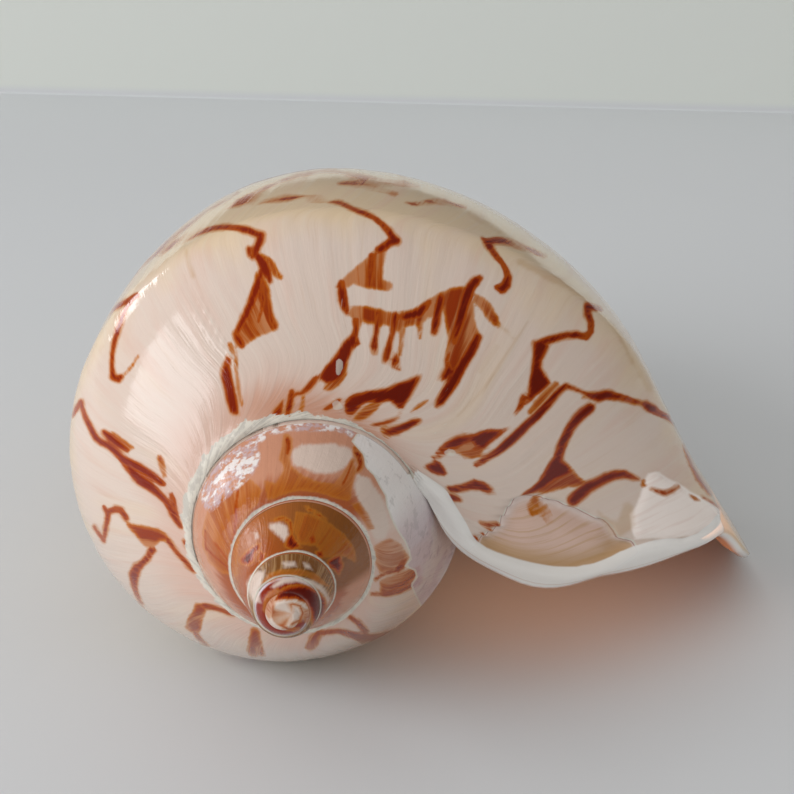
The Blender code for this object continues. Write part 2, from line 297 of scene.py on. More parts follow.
floor_places = body_places[body_places >= LAID_PLACE - NEVER_ZERO]
ends = smooth_step(body_places / CORNER_FADE) * smooth_step((2 - body_places) / FRONT_FADE)
lip_thickness = through_stations(body_places, THICKNESS_PLACES, LIP_THICKNESS)
inwards = np.linspace(0.0, 1.0, HOLLOW_STEPS + 1)[1:] ** HOLLOW_CROWDING
rim_depths = np.linspace(0.0, RIM_TURNS, RIM_STEPS + 1)
depths = np.concatenate([rim_depths, RIM_TURNS + HOLLOW_TURNS * inwards])
sections = []
section_turns = []
for depth in depths:
    rounding = min(depth / RIM_TURNS, 1.0) * math.pi
    inset = smooth_step(depth / INSET_TURNS)
    corner = CORNER_INSET * inset
    front = FRONT_INSET * inset
    share = (1 - math.cos(rounding)) / 2
    deep = max(depth - RIM_TURNS, 0.0) / HOLLOW_TURNS
    thickness = lip_thickness * share * (1 - (1 - WALL_SHARE) * deep)
    full = ends + (1 - ends) * inset
    sweep = lip_advance(body_places) * smooth_step(1 - depth / LIP_REACH_BACK)
    ceiling = corner + (2 - front - corner) * body_places / 2
    ceiling_turn = sweep - depth * share
    radius, drop = inner_profile(ceiling, ceiling_turn, thickness * full)
    bulge = math.sin(rounding) * lip_thickness / 2 * full
    ceiling_turn = ceiling_turn + bulge / (2 * math.pi * np.maximum(radius, FRONT_RADIUS))
    floor = floor_places + corner
    floor = floor - (corner + front) * (floor_places - LAID_PLACE) / (2 - LAID_PLACE)
    floor_turn = np.full_like(floor, -1.0 - depth)
    floor_radius, floor_drop = profile(floor, floor_turn)
    floor_radius = floor_radius + folds(floor, floor_turn)
    across = to_shell(radius, drop, ceiling_turn)
    back_again = to_shell(floor_radius, floor_drop, floor_turn)
    sections.append(np.concatenate([across, back_again[::-1]]))
    section_turns.append(np.concatenate([ceiling_turn, floor_turn[::-1]]))
inner = np.array(sections)
inner_turns = np.array(section_turns)
inner_places = np.concatenate([body_places, floor_places[::-1]])[None, :] + 0 * inner_turns
inside = along(inner, 0)
print("inner sheet:", inner.shape[0], "rows of", inner.shape[1], "points")

# %% [markdown]
# ## Joining the sheets
# The two sheets share their edges, so they are put into one mesh and merged there. The apex is
# closed with a small cap. Then the shell is laid as it lies on the table: turned by its dip,
# roll and heading, set on the middle of its base, and worn flat by a hair where it touches.

# %% Faces between the points
def sheet_faces(rows, columns, first, closed):
    """Corner numbers of the quads of a sheet; a closed one joins its last column to its first."""
    across = columns if closed else columns - 1
    row, column = np.meshgrid(np.arange(rows - 1), np.arange(across), indexing="ij")
    here = row * columns + column
    there = row * columns + (column + 1) % columns
    quads = np.stack([here, there, there + columns, here + columns], -1)
    return first + quads.reshape(-1, 4)


def end_faces(first, ceiling_count, floor_count):
    """Corner numbers of the faces that close the hollow's far end."""
    ceiling = first + np.arange(ceiling_count)
    floor = first + ceiling_count + np.arange(floor_count)[::-1]
    extra = ceiling_count - floor_count
    faces = [[ceiling[n + 1], ceiling[n], floor[0]] for n in range(extra)]
    for n in range(floor_count - 1):
        faces.append([ceiling[extra + n + 1], ceiling[extra + n], floor[n], floor[n + 1]])
    return faces


outer_count = outer.shape[0] * outer.shape[1]
last_section = outer_count + (inner.shape[0] - 1) * inner.shape[1]
faces = sheet_faces(outer.shape[0], outer.shape[1], 0, closed=False).tolist()
faces += sheet_faces(inner.shape[0], inner.shape[1], outer_count, closed=True).tolist()
faces += end_faces(last_section, len(body_places), len(floor_places))
print("faces:", len(faces))

# %% One closed skin
AXIS_DIP = 7.2
AXIS_ROLL = 1.3
AXIS_HEADING = -3.1
MERGE_DISTANCE = 0.002 * MM

points = np.concatenate([outer.reshape(-1, 3), inner.reshape(-1, 3)])
skin = bpy.data.meshes.new("volute")
skin.from_pydata((points * MM).tolist(), [], faces)
grown = {
    "turn": (turns, inner_turns),
    "place": (places, inner_places),
    "from_suture": (from_suture, 0 * inner_turns + FAR),
    "to_suture": (to_suture, 0 * inner_turns + FAR),
    "inside": (0 * turns, inside),
}
for name, sheets in grown.items():
    held = skin.attributes.new(name, "FLOAT", "POINT")
    held.data.foreach_set("value", np.concatenate([part.ravel() for part in sheets]).astype("f"))

mesh = bmesh.new()
mesh.from_mesh(skin)
bmesh.ops.remove_doubles(mesh, verts=mesh.verts, dist=MERGE_DISTANCE)
bmesh.ops.dissolve_degenerate(mesh, dist=MERGE_DISTANCE, edges=mesh.edges)
open_rim = [edge for edge in mesh.edges if edge.is_boundary]
print("edges to close at the apex:", len(open_rim))
cap = bmesh.ops.holes_fill(mesh, edges=open_rim, sides=0)
bmesh.ops.triangulate(mesh, faces=cap["faces"])
bmesh.ops.recalc_face_normals(mesh, faces=mesh.faces)
if mesh.calc_volume(signed=True) < 0:
    bmesh.ops.reverse_faces(mesh, faces=mesh.faces)
rest = (
    Matrix.Rotation(math.radians(AXIS_HEADING), 4, "Z")
    @ Matrix.Rotation(math.radians(90 - AXIS_DIP), 4, "X")
    @ Matrix.Rotation(math.radians(AXIS_ROLL), 4, "Z")
)
bmesh.ops.transform(mesh, matrix=rest, verts=mesh.verts)
print("edges left open:", sum(not edge.is_manifold for edge in mesh.edges))
mesh.to_mesh(skin)
mesh.free()


# %% Laying it on the table
WORN_DEPTH = 0.3


def read_vectors(data, name):
    """The points or the normals of a mesh, as rows of three numbers."""
    flat = np.empty(len(data.vertices) * 3, "f")
    data.vertices.foreach_get(name, flat)
    return flat.reshape(-1, 3).astype(float)


def write_points(data, spots):
    data.vertices.foreach_set("co", spots.astype("f").ravel())
    data.update()


def read_held(data, name):
    flat = np.empty(len(data.vertices), "f")
    data.attributes[name].data.foreach_get("value", flat)
    return flat.astype(float)


def hold(data, name, values):
    held = data.attributes.get(name) or data.attributes.new(name, "FLOAT", "POINT")
    held.data.foreach_set("value", np.asarray(values, "f"))


spots = read_vectors(skin, "co")
middle = (spots.min(axis=0) + spots.max(axis=0)) / 2
box_middle = (np.array(cad_box[0]) + np.array(cad_box[1])) / 2
spots[:, :2] += (box_middle - middle)[:2]
spots[:, 2] -= spots[:, 2].min() + WORN_DEPTH * MM
spots[:, 2] = np.maximum(spots[:, 2], 0.0)
write_points(skin, spots)
print("skin:", len(skin.vertices), "points and", len(skin.polygons), "faces")

# %% [markdown]
# ## The camera
# The photograph looks down on the apex. The camera's place was worked out from the spiral: its
# rings, the outline and the lip fall where they do only from here. It comes before the
# markings, because a marking is read in the picture and then set on the shell behind it.

# %% Where the camera stands
PICTURE_SIDE = 794
CAMERA_PLACE = (-21.6 * MM, -344.9 * MM, 209.1 * MM)
CAMERA_HEADING = 2.85
CAMERA_DIP = 26.82
CAMERA_ROLL = 0.85
FOCAL_PIXELS = 2355.0
SENSOR = 36.0

heading = math.radians(CAMERA_HEADING)
dip = math.radians(CAMERA_DIP)
roll = math.radians(CAMERA_ROLL)
ahead_of_lens = Vector(
    (math.sin(heading) * math.cos(dip), math.cos(heading) * math.cos(dip), -math.sin(dip))
)
level = Vector((math.cos(heading), -math.sin(heading), 0.0))
upright = level.cross(ahead_of_lens)
picture_right = level * math.cos(roll) + upright * math.sin(roll)
picture_up = upright * math.cos(roll) - level * math.sin(roll)
camera_data = bpy.data.cameras.new("camera")
camera_data.sensor_width = SENSOR
camera_data.lens = SENSOR * FOCAL_PIXELS / PICTURE_SIDE
camera = bpy.data.objects.new("camera", camera_data)
bpy.context.scene.collection.objects.link(camera)
turned = Matrix((picture_right, picture_up, -ahead_of_lens)).transposed().to_4x4()
camera.matrix_world = Matrix.Translation(CAMERA_PLACE) @ turned
bpy.context.scene.camera = camera
print("camera", round(Vector(CAMERA_PLACE).length / MM), "mm from the origin")


# %% What the camera sees
def to_picture(world):
    """Where points of the world fall in the picture, in pixels from its top left corner."""
    off = np.asarray(world, float) - np.array(CAMERA_PLACE)
    away = off @ np.array(ahead_of_lens)
    across = off @ np.array(picture_right) / away
    up = off @ np.array(picture_up) / away
    half = PICTURE_SIDE / 2
    return np.stack([half + FOCAL_PIXELS * across, half - FOCAL_PIXELS * up], -1)


seen_at = to_picture(spots)
normals = read_vectors(skin, "normal")
towards = np.array(CAMERA_PLACE) - spots
towards = towards / np.linalg.norm(towards, axis=1)[:, None]
facing = (normals * towards).sum(axis=1)
print("the shell spans pixels", seen_at.min(axis=0).round(), "to", seen_at.max(axis=0).round())

# %% [markdown]
# ## Dark lines of the body whorl
# The brown zigzag lines are laid down by the edge of the animal's mantle, so each shell's are
# its own. An image of them would fix their sharpness, and a rule would draw another shell's. On
# the side that the photograph shows they were read instead, as strokes with a half width at each
# corner, and the broad places as outlines, all in pixels of the picture. Every point of the shell
# that faces the camera keeps how far inside a mark it lies. That distance is smooth from point to
# point, so the finish can cut it off sharply, soften it or streak it.

# %% Dark strokes, as column, row and half width
DARK_LINES = {
    "second_break_edge": (
        (650, 489, 0.8), (656, 491, 1.6), (663, 493, 2.2), (670, 490, 1.8), (677, 486, 1.0),
    ),
    "second_break_far": ((702, 497, 0.7), (711, 502, 1.3), (720, 508, 0.9)),
    "long_hook": (
        (140, 266, 1.0), (150, 258, 1.3), (160, 252, 1.8), (172, 245, 2.0), (181, 241, 1.5), (192, 236, 1.8),
        (203, 231, 2.4), (215, 228, 2.3), (227, 227, 2.8), (238, 228, 3.2), (247, 230, 3.4), (255, 233, 3.2),
        (261, 235, 3.6), (260, 241, 3.6), (257, 247, 3.2), (255, 254, 3.0), (260, 259, 4.0), (264, 265, 5.0),
        (267, 271, 4.5), (270, 281, 2.5),
    ),
    "hook_knob": ((249, 249, 2.6), (250, 255, 2.4), (253, 258, 1.5)),
    "tent_left_edge": (
        (262, 270, 2.6), (259, 280, 3.6), (255, 292, 4.2), (251, 304, 4.2), (246, 315, 4.0), (240, 326, 3.0),
        (236, 334, 2.4),
    ),
    "tent_streak": ((263, 284, 1.6), (263, 298, 2.2), (261, 312, 2.0), (258, 322, 1.4)),
    "tent_right_edge": ((267, 296, 1.2), (270, 310, 1.8), (272, 322, 2.4), (275, 327, 2.6)),
    "tent_foot": ((236, 332, 2.5), (238, 338, 4.0), (242, 345, 3.5), (243, 347, 1.5)),
    "over_the_top": (
        (224, 208, 0.8), (234, 205, 1.8), (243, 203, 1.2), (252, 202, 1.5), (265, 201, 1.2), (277, 199, 1.7),
        (287, 198, 2.0), (300, 198, 1.4), (314, 199, 1.9), (328, 200, 1.6), (340, 203, 2.0), (352, 208, 2.2),
        (363, 213, 2.4), (374, 218, 2.6), (382, 224, 2.8), (388, 231, 3.4), (392, 237, 3.8), (396, 241, 4.2),
        (390, 242, 4.0), (384, 247, 4.4), (379, 250, 4.0),
    ),
    "tent_core": ((372, 256, 3.5), (371, 266, 3.8), (370, 276, 3.5), (369, 286, 2.0)),
    "scarred_post": (
        (338, 287, 1.5), (342, 282, 3.0), (342, 290, 4.5), (343, 299, 4.8), (345, 307, 4.0), (348, 314, 2.0),
    ),
    "far_edge_left": (
        (156, 250, 0.4), (175, 236, 0.8), (190, 224, 0.8), (204, 213, 0.6), (222, 202, 0.8), (240, 192, 0.8),
    ),
    "far_edge_top": (
        (236, 202, 1.2), (250, 195, 1.2), (265, 188, 1.2), (281, 181, 1.2), (292, 177, 0.8), (305, 174, 0.7),
        (320, 171, 0.7), (335, 171, 0.7), (350, 174, 0.8), (365, 177, 0.8), (385, 181, 0.7), (405, 184, 0.6),
        (420, 187, 0.4),
    ),
    "fork_upper": ((339, 183, 0.8), (352, 182, 1.3), (366, 180, 0.8)),
    "fork_lower": (
        (340, 183, 0.8), (352, 184, 1.3), (364, 186, 1.3), (375, 188, 1.5), (388, 191, 1.2), (396, 195, 0.8),
    ),
    "short_top": (
        (405, 204, 1.2), (416, 204, 1.4), (427, 202, 1.6), (438, 201, 1.4), (448, 203, 1.4), (458, 205, 1.2),
        (465, 207, 0.8),
    ),
    "right_hook": (
        (482, 238, 1.5), (487, 243, 3.0), (492, 250, 3.2), (497, 257, 2.8), (502, 263, 3.0), (506, 270, 3.2),
        (508, 277, 4.0), (506, 284, 5.0), (502, 289, 5.0), (497, 287, 3.0),
    ),
    "right_hook_branch": (
        (488, 242, 3.5), (496, 240, 3.2), (504, 241, 2.8), (512, 243, 2.5), (521, 247, 2.5), (530, 250, 2.0),
        (545, 256, 1.5),
    ),
    "band_peak": (
        (480, 278, 3.0), (475, 282, 5.0), (471, 287, 5.0), (468, 294, 5.5), (465, 303, 5.5), (462, 313, 5.5),
        (459, 324, 5.0), (456, 334, 4.5), (454, 343, 3.0),
    ),
    "band_leg_first": ((356, 320, 3.2), (356, 330, 3.0), (354, 339, 3.8), (357, 343, 3.0)),
    "band_leg_second": ((377, 312, 2.5), (377, 325, 2.4), (376, 335, 2.2), (374, 345, 3.4), (375, 351, 2.8)),
    "band_leg_third": (
        (395, 316, 4.2), (394, 325, 3.6), (392, 335, 2.5), (389, 345, 3.0), (387, 355, 3.8), (385, 361, 2.5),
    ),
    "band_leg_fourth": ((441, 298, 4.2), (438, 310, 4.4), (436, 322, 4.4), (434, 332, 3.0)),
    "band_drop": ((396, 357, 3.5), (395, 364, 4.2), (399, 368, 2.5)),
    "band_top": ((404, 317, 4.0), (411, 315, 4.5), (419, 313, 5.0), (424, 308, 4.5), (429, 302, 3.0)),
    "second_stroke": (
        (478, 337, 4.0), (474, 345, 5.0), (470, 353, 5.0), (464, 362, 5.0), (458, 373, 5.5), (452, 384, 5.5),
        (446, 393, 5.0), (440, 402, 4.0), (437, 406, 2.0),
    ),
    "second_side": ((449, 352, 1.5), (447, 361, 2.4), (449, 371, 4.0), (444, 378, 3.5), (438, 377, 2.0)),
    "suture_thread": ((316, 378, 3.0), (308, 388, 3.0), (302, 393, 2.0), (295, 393, 2.0)),
    "suture_stroke": ((292, 392, 3.0), (290, 402, 3.2), (288, 413, 2.6)),
    "suture_scratch": ((325, 409, 1.8), (333, 405, 2.4), (339, 400, 2.0)),
    "suture_crack": ((372, 425, 1.0), (380, 424, 1.8), (388, 422, 1.6), (397, 419, 1.0)),
    "suture_blood": ((387, 432, 3.6), (395, 431, 4.2), (405, 427, 4.2), (414, 422, 3.6), (419, 420, 2.0)),
    "lip_corner": ((433, 458, 1.5), (440, 456, 1.6), (446, 451, 2.4)),
    "streak_beside_wedge": ((470, 452, 1.6), (480, 446, 2.6), (488, 440, 2.0)),
    "right_zigzag": (
        (601, 309, 2.0), (594, 308, 3.0), (588, 306, 4.0), (588, 314, 3.5), (591, 322, 3.2), (591, 331, 3.2),
        (586, 337, 3.5), (577, 335, 3.5), (566, 335, 3.0), (556, 338, 3.2), (546, 341, 4.0), (538, 345, 4.5),
    ),
    "long_streak": (
        (566, 386, 2.5), (560, 390, 3.0), (553, 398, 3.5), (545, 407, 3.8), (536, 417, 4.0), (527, 425, 4.2),
        (518, 434, 4.5), (508, 443, 4.5), (497, 452, 3.5), (487, 458, 3.0), (480, 463, 3.5), (474, 466, 2.0),
    ),
    "post_tail": ((524, 398, 3.5), (520, 407, 2.6), (515, 414, 1.2)),
    "right_run": (
        (566, 386, 2.0), (575, 389, 1.4), (584, 393, 1.4), (591, 396, 3.4), (598, 397, 5.0), (606, 395, 5.0),
        (615, 396, 4.0), (624, 398, 3.2), (634, 401, 2.5), (641, 403, 1.4),
    ),
    "right_run_end": (
        (646, 405, 4.0), (652, 409, 4.5), (658, 413, 3.5), (665, 416, 3.0), (672, 420, 2.5), (679, 427, 2.0),
        (684, 434, 1.5),
    ),
    "big_slash": (
        (590, 408, 5.0), (583, 413, 5.5), (576, 420, 5.0), (570, 428, 4.5), (565, 438, 4.5), (561, 448, 4.6),
        (558, 458, 5.0), (554, 466, 6.0), (549, 475, 6.5), (543, 483, 5.5), (537, 488, 4.0), (530, 492, 2.6),
        (522, 496, 1.5),
    ),
    "lower_slash": (
        (573, 500, 6.0), (580, 494, 6.0), (588, 487, 5.6), (597, 483, 5.0), (606, 478, 5.0), (615, 475, 4.6),
        (624, 474, 4.0), (632, 477, 2.6), (638, 479, 1.0),
    ),
    "loop": (
        (449, 489, 3.0), (457, 489, 3.5), (466, 487, 3.6), (474, 484, 5.0), (482, 486, 4.6), (489, 490, 3.6),
        (493, 494, 2.0),
    ),
    "loop_lower": ((447, 495, 2.0), (453, 498, 3.4), (460, 500, 2.0)),
    "tooth_upper": ((480, 523, 1.0), (488, 525, 1.8), (494, 525, 2.4), (499, 524, 1.5)),
    "tooth_lower": ((497, 526, 1.5), (488, 531, 1.4), (480, 536, 1.6), (475, 539, 3.2), (470, 534, 1.4)),
    "left_flag": (
        (101, 321, 1.0), (107, 314, 1.8), (114, 308, 2.5), (122, 304, 2.2), (130, 300, 3.2), (137, 295, 2.5),
    ),
    "left_flag_pole": (
        (131, 301, 2.6), (126, 308, 2.0), (122, 318, 2.0), (118, 330, 2.5), (114, 343, 2.5), (112, 356, 2.0),
        (112, 368, 2.0), (113, 377, 3.5), (118, 379, 3.6), (122, 376, 2.0),
    ),
    "left_river": (
        (73, 416, 1.0), (77, 408, 2.5), (81, 402, 2.5), (82, 408, 2.0), (86, 418, 2.5), (91, 429, 3.0),
        (96, 438, 3.2), (101, 442, 3.5), (108, 445, 3.5), (116, 452, 3.5), (123, 460, 4.0), (130, 468, 4.5),
        (136, 475, 5.0), (142, 481, 5.5), (150, 486, 5.0), (158, 493, 4.0), (165, 500, 3.5), (170, 507, 3.5),
        (173, 514, 3.5), (177, 521, 3.0), (181, 527, 2.0),
    ),
    "river_island": ((104, 432, 2.5), (110, 437, 4.0), (118, 444, 4.0), (127, 450, 2.4)),
    "river_bank": ((125, 459, 3.0), (135, 466, 5.0), (145, 472, 5.0), (155, 478, 4.6), (163, 484, 3.0)),
    "river_mouth": ((171, 494, 2.0), (173, 500, 3.2), (175, 510, 2.6), (178, 518, 2.0)),
    "crown_left": (
        (94, 527, 1.5), (99, 534, 1.8), (104, 541, 2.0), (105, 532, 2.0), (107, 523, 2.2), (108, 514, 2.8),
        (104, 507, 2.0),
    ),
    "crown_top": ((108, 512, 3.0), (115, 509, 3.2), (121, 510, 3.2), (126, 518, 3.0)),
    "crown_leg_left": (
        (152, 550, 4.0), (148, 557, 3.2), (143, 563, 3.0), (137, 568, 4.6), (134, 574, 5.0), (134, 582, 3.5),
        (135, 590, 2.5), (139, 600, 1.5), (143, 606, 1.0),
    ),
    "crown_leg_right": (
        (168, 540, 2.6), (173, 548, 2.0), (179, 555, 2.0), (185, 561, 2.4), (190, 567, 2.0), (194, 572, 1.5),
    ),
    "suture_nick": ((184, 541, 1.5), (189, 547, 2.6)),
    "low_left_line": ((204, 606, 3.0), (215, 608, 2.5), (224, 611, 2.0), (233, 615, 1.5)),
    "low_left_tail": ((195, 633, 2.4), (200, 639, 1.8), (207, 645, 1.0)),
    "low_right_run": (
        (322, 633, 2.6), (338, 631, 2.4), (350, 634, 3.6), (362, 638, 4.2), (374, 638, 3.4), (386, 635, 2.4),
        (397, 630, 1.4),
    ),
    "low_right_link": ((350, 617, 2.0), (358, 623, 2.4), (366, 632, 3.0)),
    "glazed_edge": ((372, 594, 1.5), (386, 595, 1.6), (400, 591, 2.2), (412, 585, 2.6), (421, 580, 3.0)),
    "glazed_link": ((376, 579, 1.6), (386, 573, 1.6), (397, 570, 1.8), (404, 567, 1.4)),
}
print("dark strokes:", len(DARK_LINES))

# %% Dark areas, as outlines
DARK_PATCHES = {
    "left_spear": (
        (227, 355), (223, 365), (221, 376), (224, 388), (227, 402), (231, 414), (239, 415), (238, 405),
        (236, 395), (232, 378), (230, 366), (231, 358),
    ),
    "suture_drop": (
        (345, 341), (351, 335), (357, 343), (351, 352), (347, 362), (344, 374), (336, 382), (327, 384),
        (319, 378), (323, 369), (331, 361), (338, 352),
    ),
    "suture_wedge": ((283, 400), (282, 414), (271, 417), (274, 411), (279, 405)),
    "suture_band": (
        (345, 402), (350, 396), (358, 393), (368, 391), (378, 390), (388, 388), (396, 384), (405, 381),
        (413, 378), (421, 375), (418, 382), (412, 393), (406, 403), (401, 412), (396, 405), (390, 401),
        (384, 401), (378, 404), (370, 402), (362, 405), (356, 412), (350, 417), (345, 412),
    ),
    "upper_wedge": (
        (510, 427), (500, 430), (490, 429), (480, 431), (470, 436), (462, 434), (452, 439), (443, 444),
        (437, 450), (435, 456), (441, 454), (448, 450), (457, 449), (464, 445), (471, 442), (476, 447),
        (480, 455), (484, 450), (489, 444), (496, 439), (503, 433),
    ),
    "low_wedge": (
        (424, 466), (430, 464), (436, 459), (441, 463), (444, 468), (447, 474), (442, 476), (435, 474),
        (429, 471),
    ),
    "zigzag_post": (
        (533, 342), (543, 340), (549, 345), (546, 353), (542, 361), (541, 368), (546, 376), (551, 383),
        (543, 391), (536, 396), (530, 402), (525, 405), (528, 393), (530, 380), (531, 368), (533, 356),
    ),
    "slash_foot": (
        (556, 458), (565, 462), (573, 472), (566, 476), (556, 480), (546, 487), (539, 489), (546, 477),
    ),
}
print("dark areas:", len(DARK_PATCHES))

# %% [markdown]
# ## Amber washes
# Beside the dark lines and between them the brown was laid on thin, and shows as amber. The
# washes are read in the same way as the dark marks and kept apart from them, so that the finish
# can give them a colour and an edge of their own.

# %% Amber strokes and areas
AMBER_LINES = {
    "hook_shade": ((262, 256, 3.0), (270, 262, 4.0), (275, 272, 4.0), (280, 277, 3.0)),
    "spear_shade": ((236, 352, 1.6), (236, 370, 1.6), (239, 392, 2.0), (242, 406, 1.6)),
    "spear_neck": ((230, 345, 2.6), (232, 350, 2.4)),
    "tent_toe": ((378, 286, 3.5), (388, 286, 4.5)),
    "second_blotch": ((688, 495, 1.4), (694, 499, 2.4), (698, 501, 1.0)),
    "band_strip": (
        (354, 313, 5.5), (366, 313, 6.0), (378, 315, 6.5), (391, 320, 6.5), (403, 321, 6.5), (413, 318, 7.0),
        (422, 312, 6.5), (430, 307, 7.0), (438, 303, 8.0), (446, 299, 8.5), (456, 297, 9.0), (466, 295, 8.0),
    ),
    "leg_fifth": ((418, 318, 3.0), (420, 328, 2.4), (420, 338, 1.4)),
    "leg_between": ((402, 314, 3.4), (402, 330, 2.8), (401, 345, 2.4), (399, 356, 2.4)),
    "right_branch": (
        (474, 297, 4.0), (480, 301, 5.0), (486, 307, 5.6), (490, 314, 5.6), (494, 319, 5.0), (498, 325, 2.6),
    ),
    "thread_shade": ((303, 394, 1.6), (303, 404, 2.0), (300, 413, 2.6)),
    "flag_echo": ((122, 376, 1.2), (128, 371, 1.6), (134, 363, 1.2), (139, 355, 0.8)),
    "river_spill": ((160, 458, 3.0), (162, 466, 3.4), (165, 476, 2.0)),
    "run_link": ((583, 398, 1.6), (590, 394, 2.4), (640, 403, 2.6), (648, 405, 2.2)),
    "streak_side": ((556, 384, 3.0), (548, 392, 4.0), (538, 403, 4.0), (530, 412, 2.5)),
    "scar_spot": ((527, 506, 1.2), (530, 511, 1.8), (533, 515, 1.2)),
    "scar_stain": ((538, 500, 3.0), (543, 506, 4.6), (547, 514, 5.0), (551, 523, 3.6)),
    "far_corner": ((684, 446, 1.6), (690, 462, 2.4), (698, 478, 3.0), (710, 494, 2.6)),
    "lip_dot": ((643, 480, 1.4), (643, 485, 2.2)),
    "hollow_by_suture": ((412, 411, 1.8), (420, 405, 1.6), (428, 400, 1.2)),
}
AMBER_PATCHES = {
    "tent_left": (
        (256, 272), (264, 276), (270, 290), (272, 312), (279, 325), (272, 332), (262, 335), (252, 341),
        (244, 346), (236, 347), (232, 334), (238, 325), (245, 312), (252, 293),
    ),
    "tent_middle": (
        (388, 243), (386, 252), (384, 265), (383, 279), (389, 283), (389, 291), (377, 290), (365, 288),
        (353, 284), (347, 288), (340, 283), (343, 279), (350, 272), (360, 264), (368, 257), (376, 250),
    ),
    "band_left": (
        (350, 307), (357, 306), (366, 306), (375, 308), (387, 312), (386, 322), (380, 328), (373, 324),
        (369, 325), (363, 321), (359, 330), (353, 326), (352, 316),
    ),
    "band_middle": (
        (390, 313), (402, 313), (410, 310), (418, 308), (424, 303), (430, 298), (437, 296), (443, 292),
        (434, 318), (428, 318), (421, 325), (414, 322), (404, 326), (398, 332), (391, 330),
    ),
    "band_right": (
        (443, 292), (450, 288), (460, 287), (466, 286), (474, 296), (474, 318), (480, 338), (472, 350),
        (462, 362), (452, 377), (446, 374), (446, 352), (448, 338), (447, 330), (443, 312),
    ),
    "drop_shade": ((340, 362), (348, 362), (347, 374), (340, 385), (330, 392), (322, 390)),
    "under_band": ((356, 414), (368, 404), (382, 402), (374, 413), (362, 421), (352, 421)),
    "blood_shade": ((380, 428), (386, 425), (392, 436), (386, 440)),
    "wedge_shade": ((448, 452), (470, 440), (492, 436), (480, 457), (466, 460), (458, 452)),
    "foot_shade": (
        (558, 455), (566, 462), (573, 470), (580, 478), (588, 483), (580, 486), (568, 487), (556, 490),
        (546, 493), (536, 493), (545, 482), (552, 470),
    ),
    "river_shade": ((112, 432), (124, 440), (134, 448), (124, 452), (112, 444)),
}
print("amber washes:", len(AMBER_LINES) + len(AMBER_PATCHES))

# %% [markdown]
# ## Marks of the spire
# The older whorls have worn to a warm orange-brown with pale cells between dark claws and
# teeth. They lie on other whorls than the lines above, and in the picture they are far smaller,
# so they have tables of their own. The pale cells are laid over the ground before the browns.

# %% Dark, amber and cream marks of the spire
SPIRE_DARK_PATCHES = {
    "second_bite": (
        (240, 559), (246, 553), (253, 547), (260, 544), (259, 549), (254, 553), (253, 561), (247, 565),
        (241, 563),
    ),
    "second_claw": ((260, 551), (265, 555), (263, 563), (259, 559)),
    "second_tooth": ((286, 546), (288, 538), (292, 534), (295, 541), (301, 547), (291, 549)),
    "second_speck": ((309, 538), (314, 534), (316, 542), (311, 544)),
    "second_dash": ((316, 552), (322, 551), (324, 557), (318, 557)),
    "second_right": ((328, 561), (334, 557), (340, 556), (343, 566), (339, 575), (334, 569), (329, 567)),
    "dome": (
        (274, 601), (279, 592), (288, 587), (299, 585), (310, 587), (319, 592), (325, 600), (326, 611),
        (320, 620), (313, 626), (312, 613), (306, 603), (296, 599), (284, 599),
    ),
    "claw_end": ((408, 557), (404, 567), (398, 573), (396, 567), (402, 560)),
}
SPIRE_DARK_LINES = {
    "ridge_line": ((305, 507, 0.8), (316, 513, 1.2), (326, 520, 1.0)),
    "curl": ((272, 520, 0.6), (284, 518, 1.0), (290, 522, 1.1), (292, 532, 0.8)),
    "glaze_blood": ((354, 449, 2.2), (359, 456, 3.0), (361, 465, 2.0), (357, 472, 1.0)),
    "left_seam": ((238, 490, 1.4), (236, 505, 1.8), (236, 520, 1.6), (233, 541, 1.2)),
    "left_comb_a": ((205, 530, 1.0), (206, 548, 1.4), (214, 556, 1.4), (226, 566, 1.4), (233, 576, 1.2)),
    "left_comb_b": ((214, 542, 1.0), (222, 552, 1.4), (230, 564, 1.2)),
    "bar": ((287, 438, 2.2), (289, 446, 2.4), (287, 454, 1.6)),
    "right_streak": ((352, 462, 1.0), (348, 474, 1.2), (343, 484, 1.6)),
    "dome_swirl": (
        (292, 611, 0.8), (288, 613, 0.8), (285, 610, 0.7), (287, 606, 0.7), (293, 604, 0.7), (300, 606, 0.8),
        (303, 613, 0.8), (300, 620, 0.7), (292, 624, 0.6),
    ),
    "dome_rim": ((273, 606, 0.6), (273, 616, 0.8), (279, 624, 0.8), (288, 629, 0.8), (298, 630, 0.8)),
    "claw": ((418, 569, 2.0), (412, 577, 2.6), (403, 584, 2.0), (393, 591, 1.6), (380, 594, 1.2)),
}
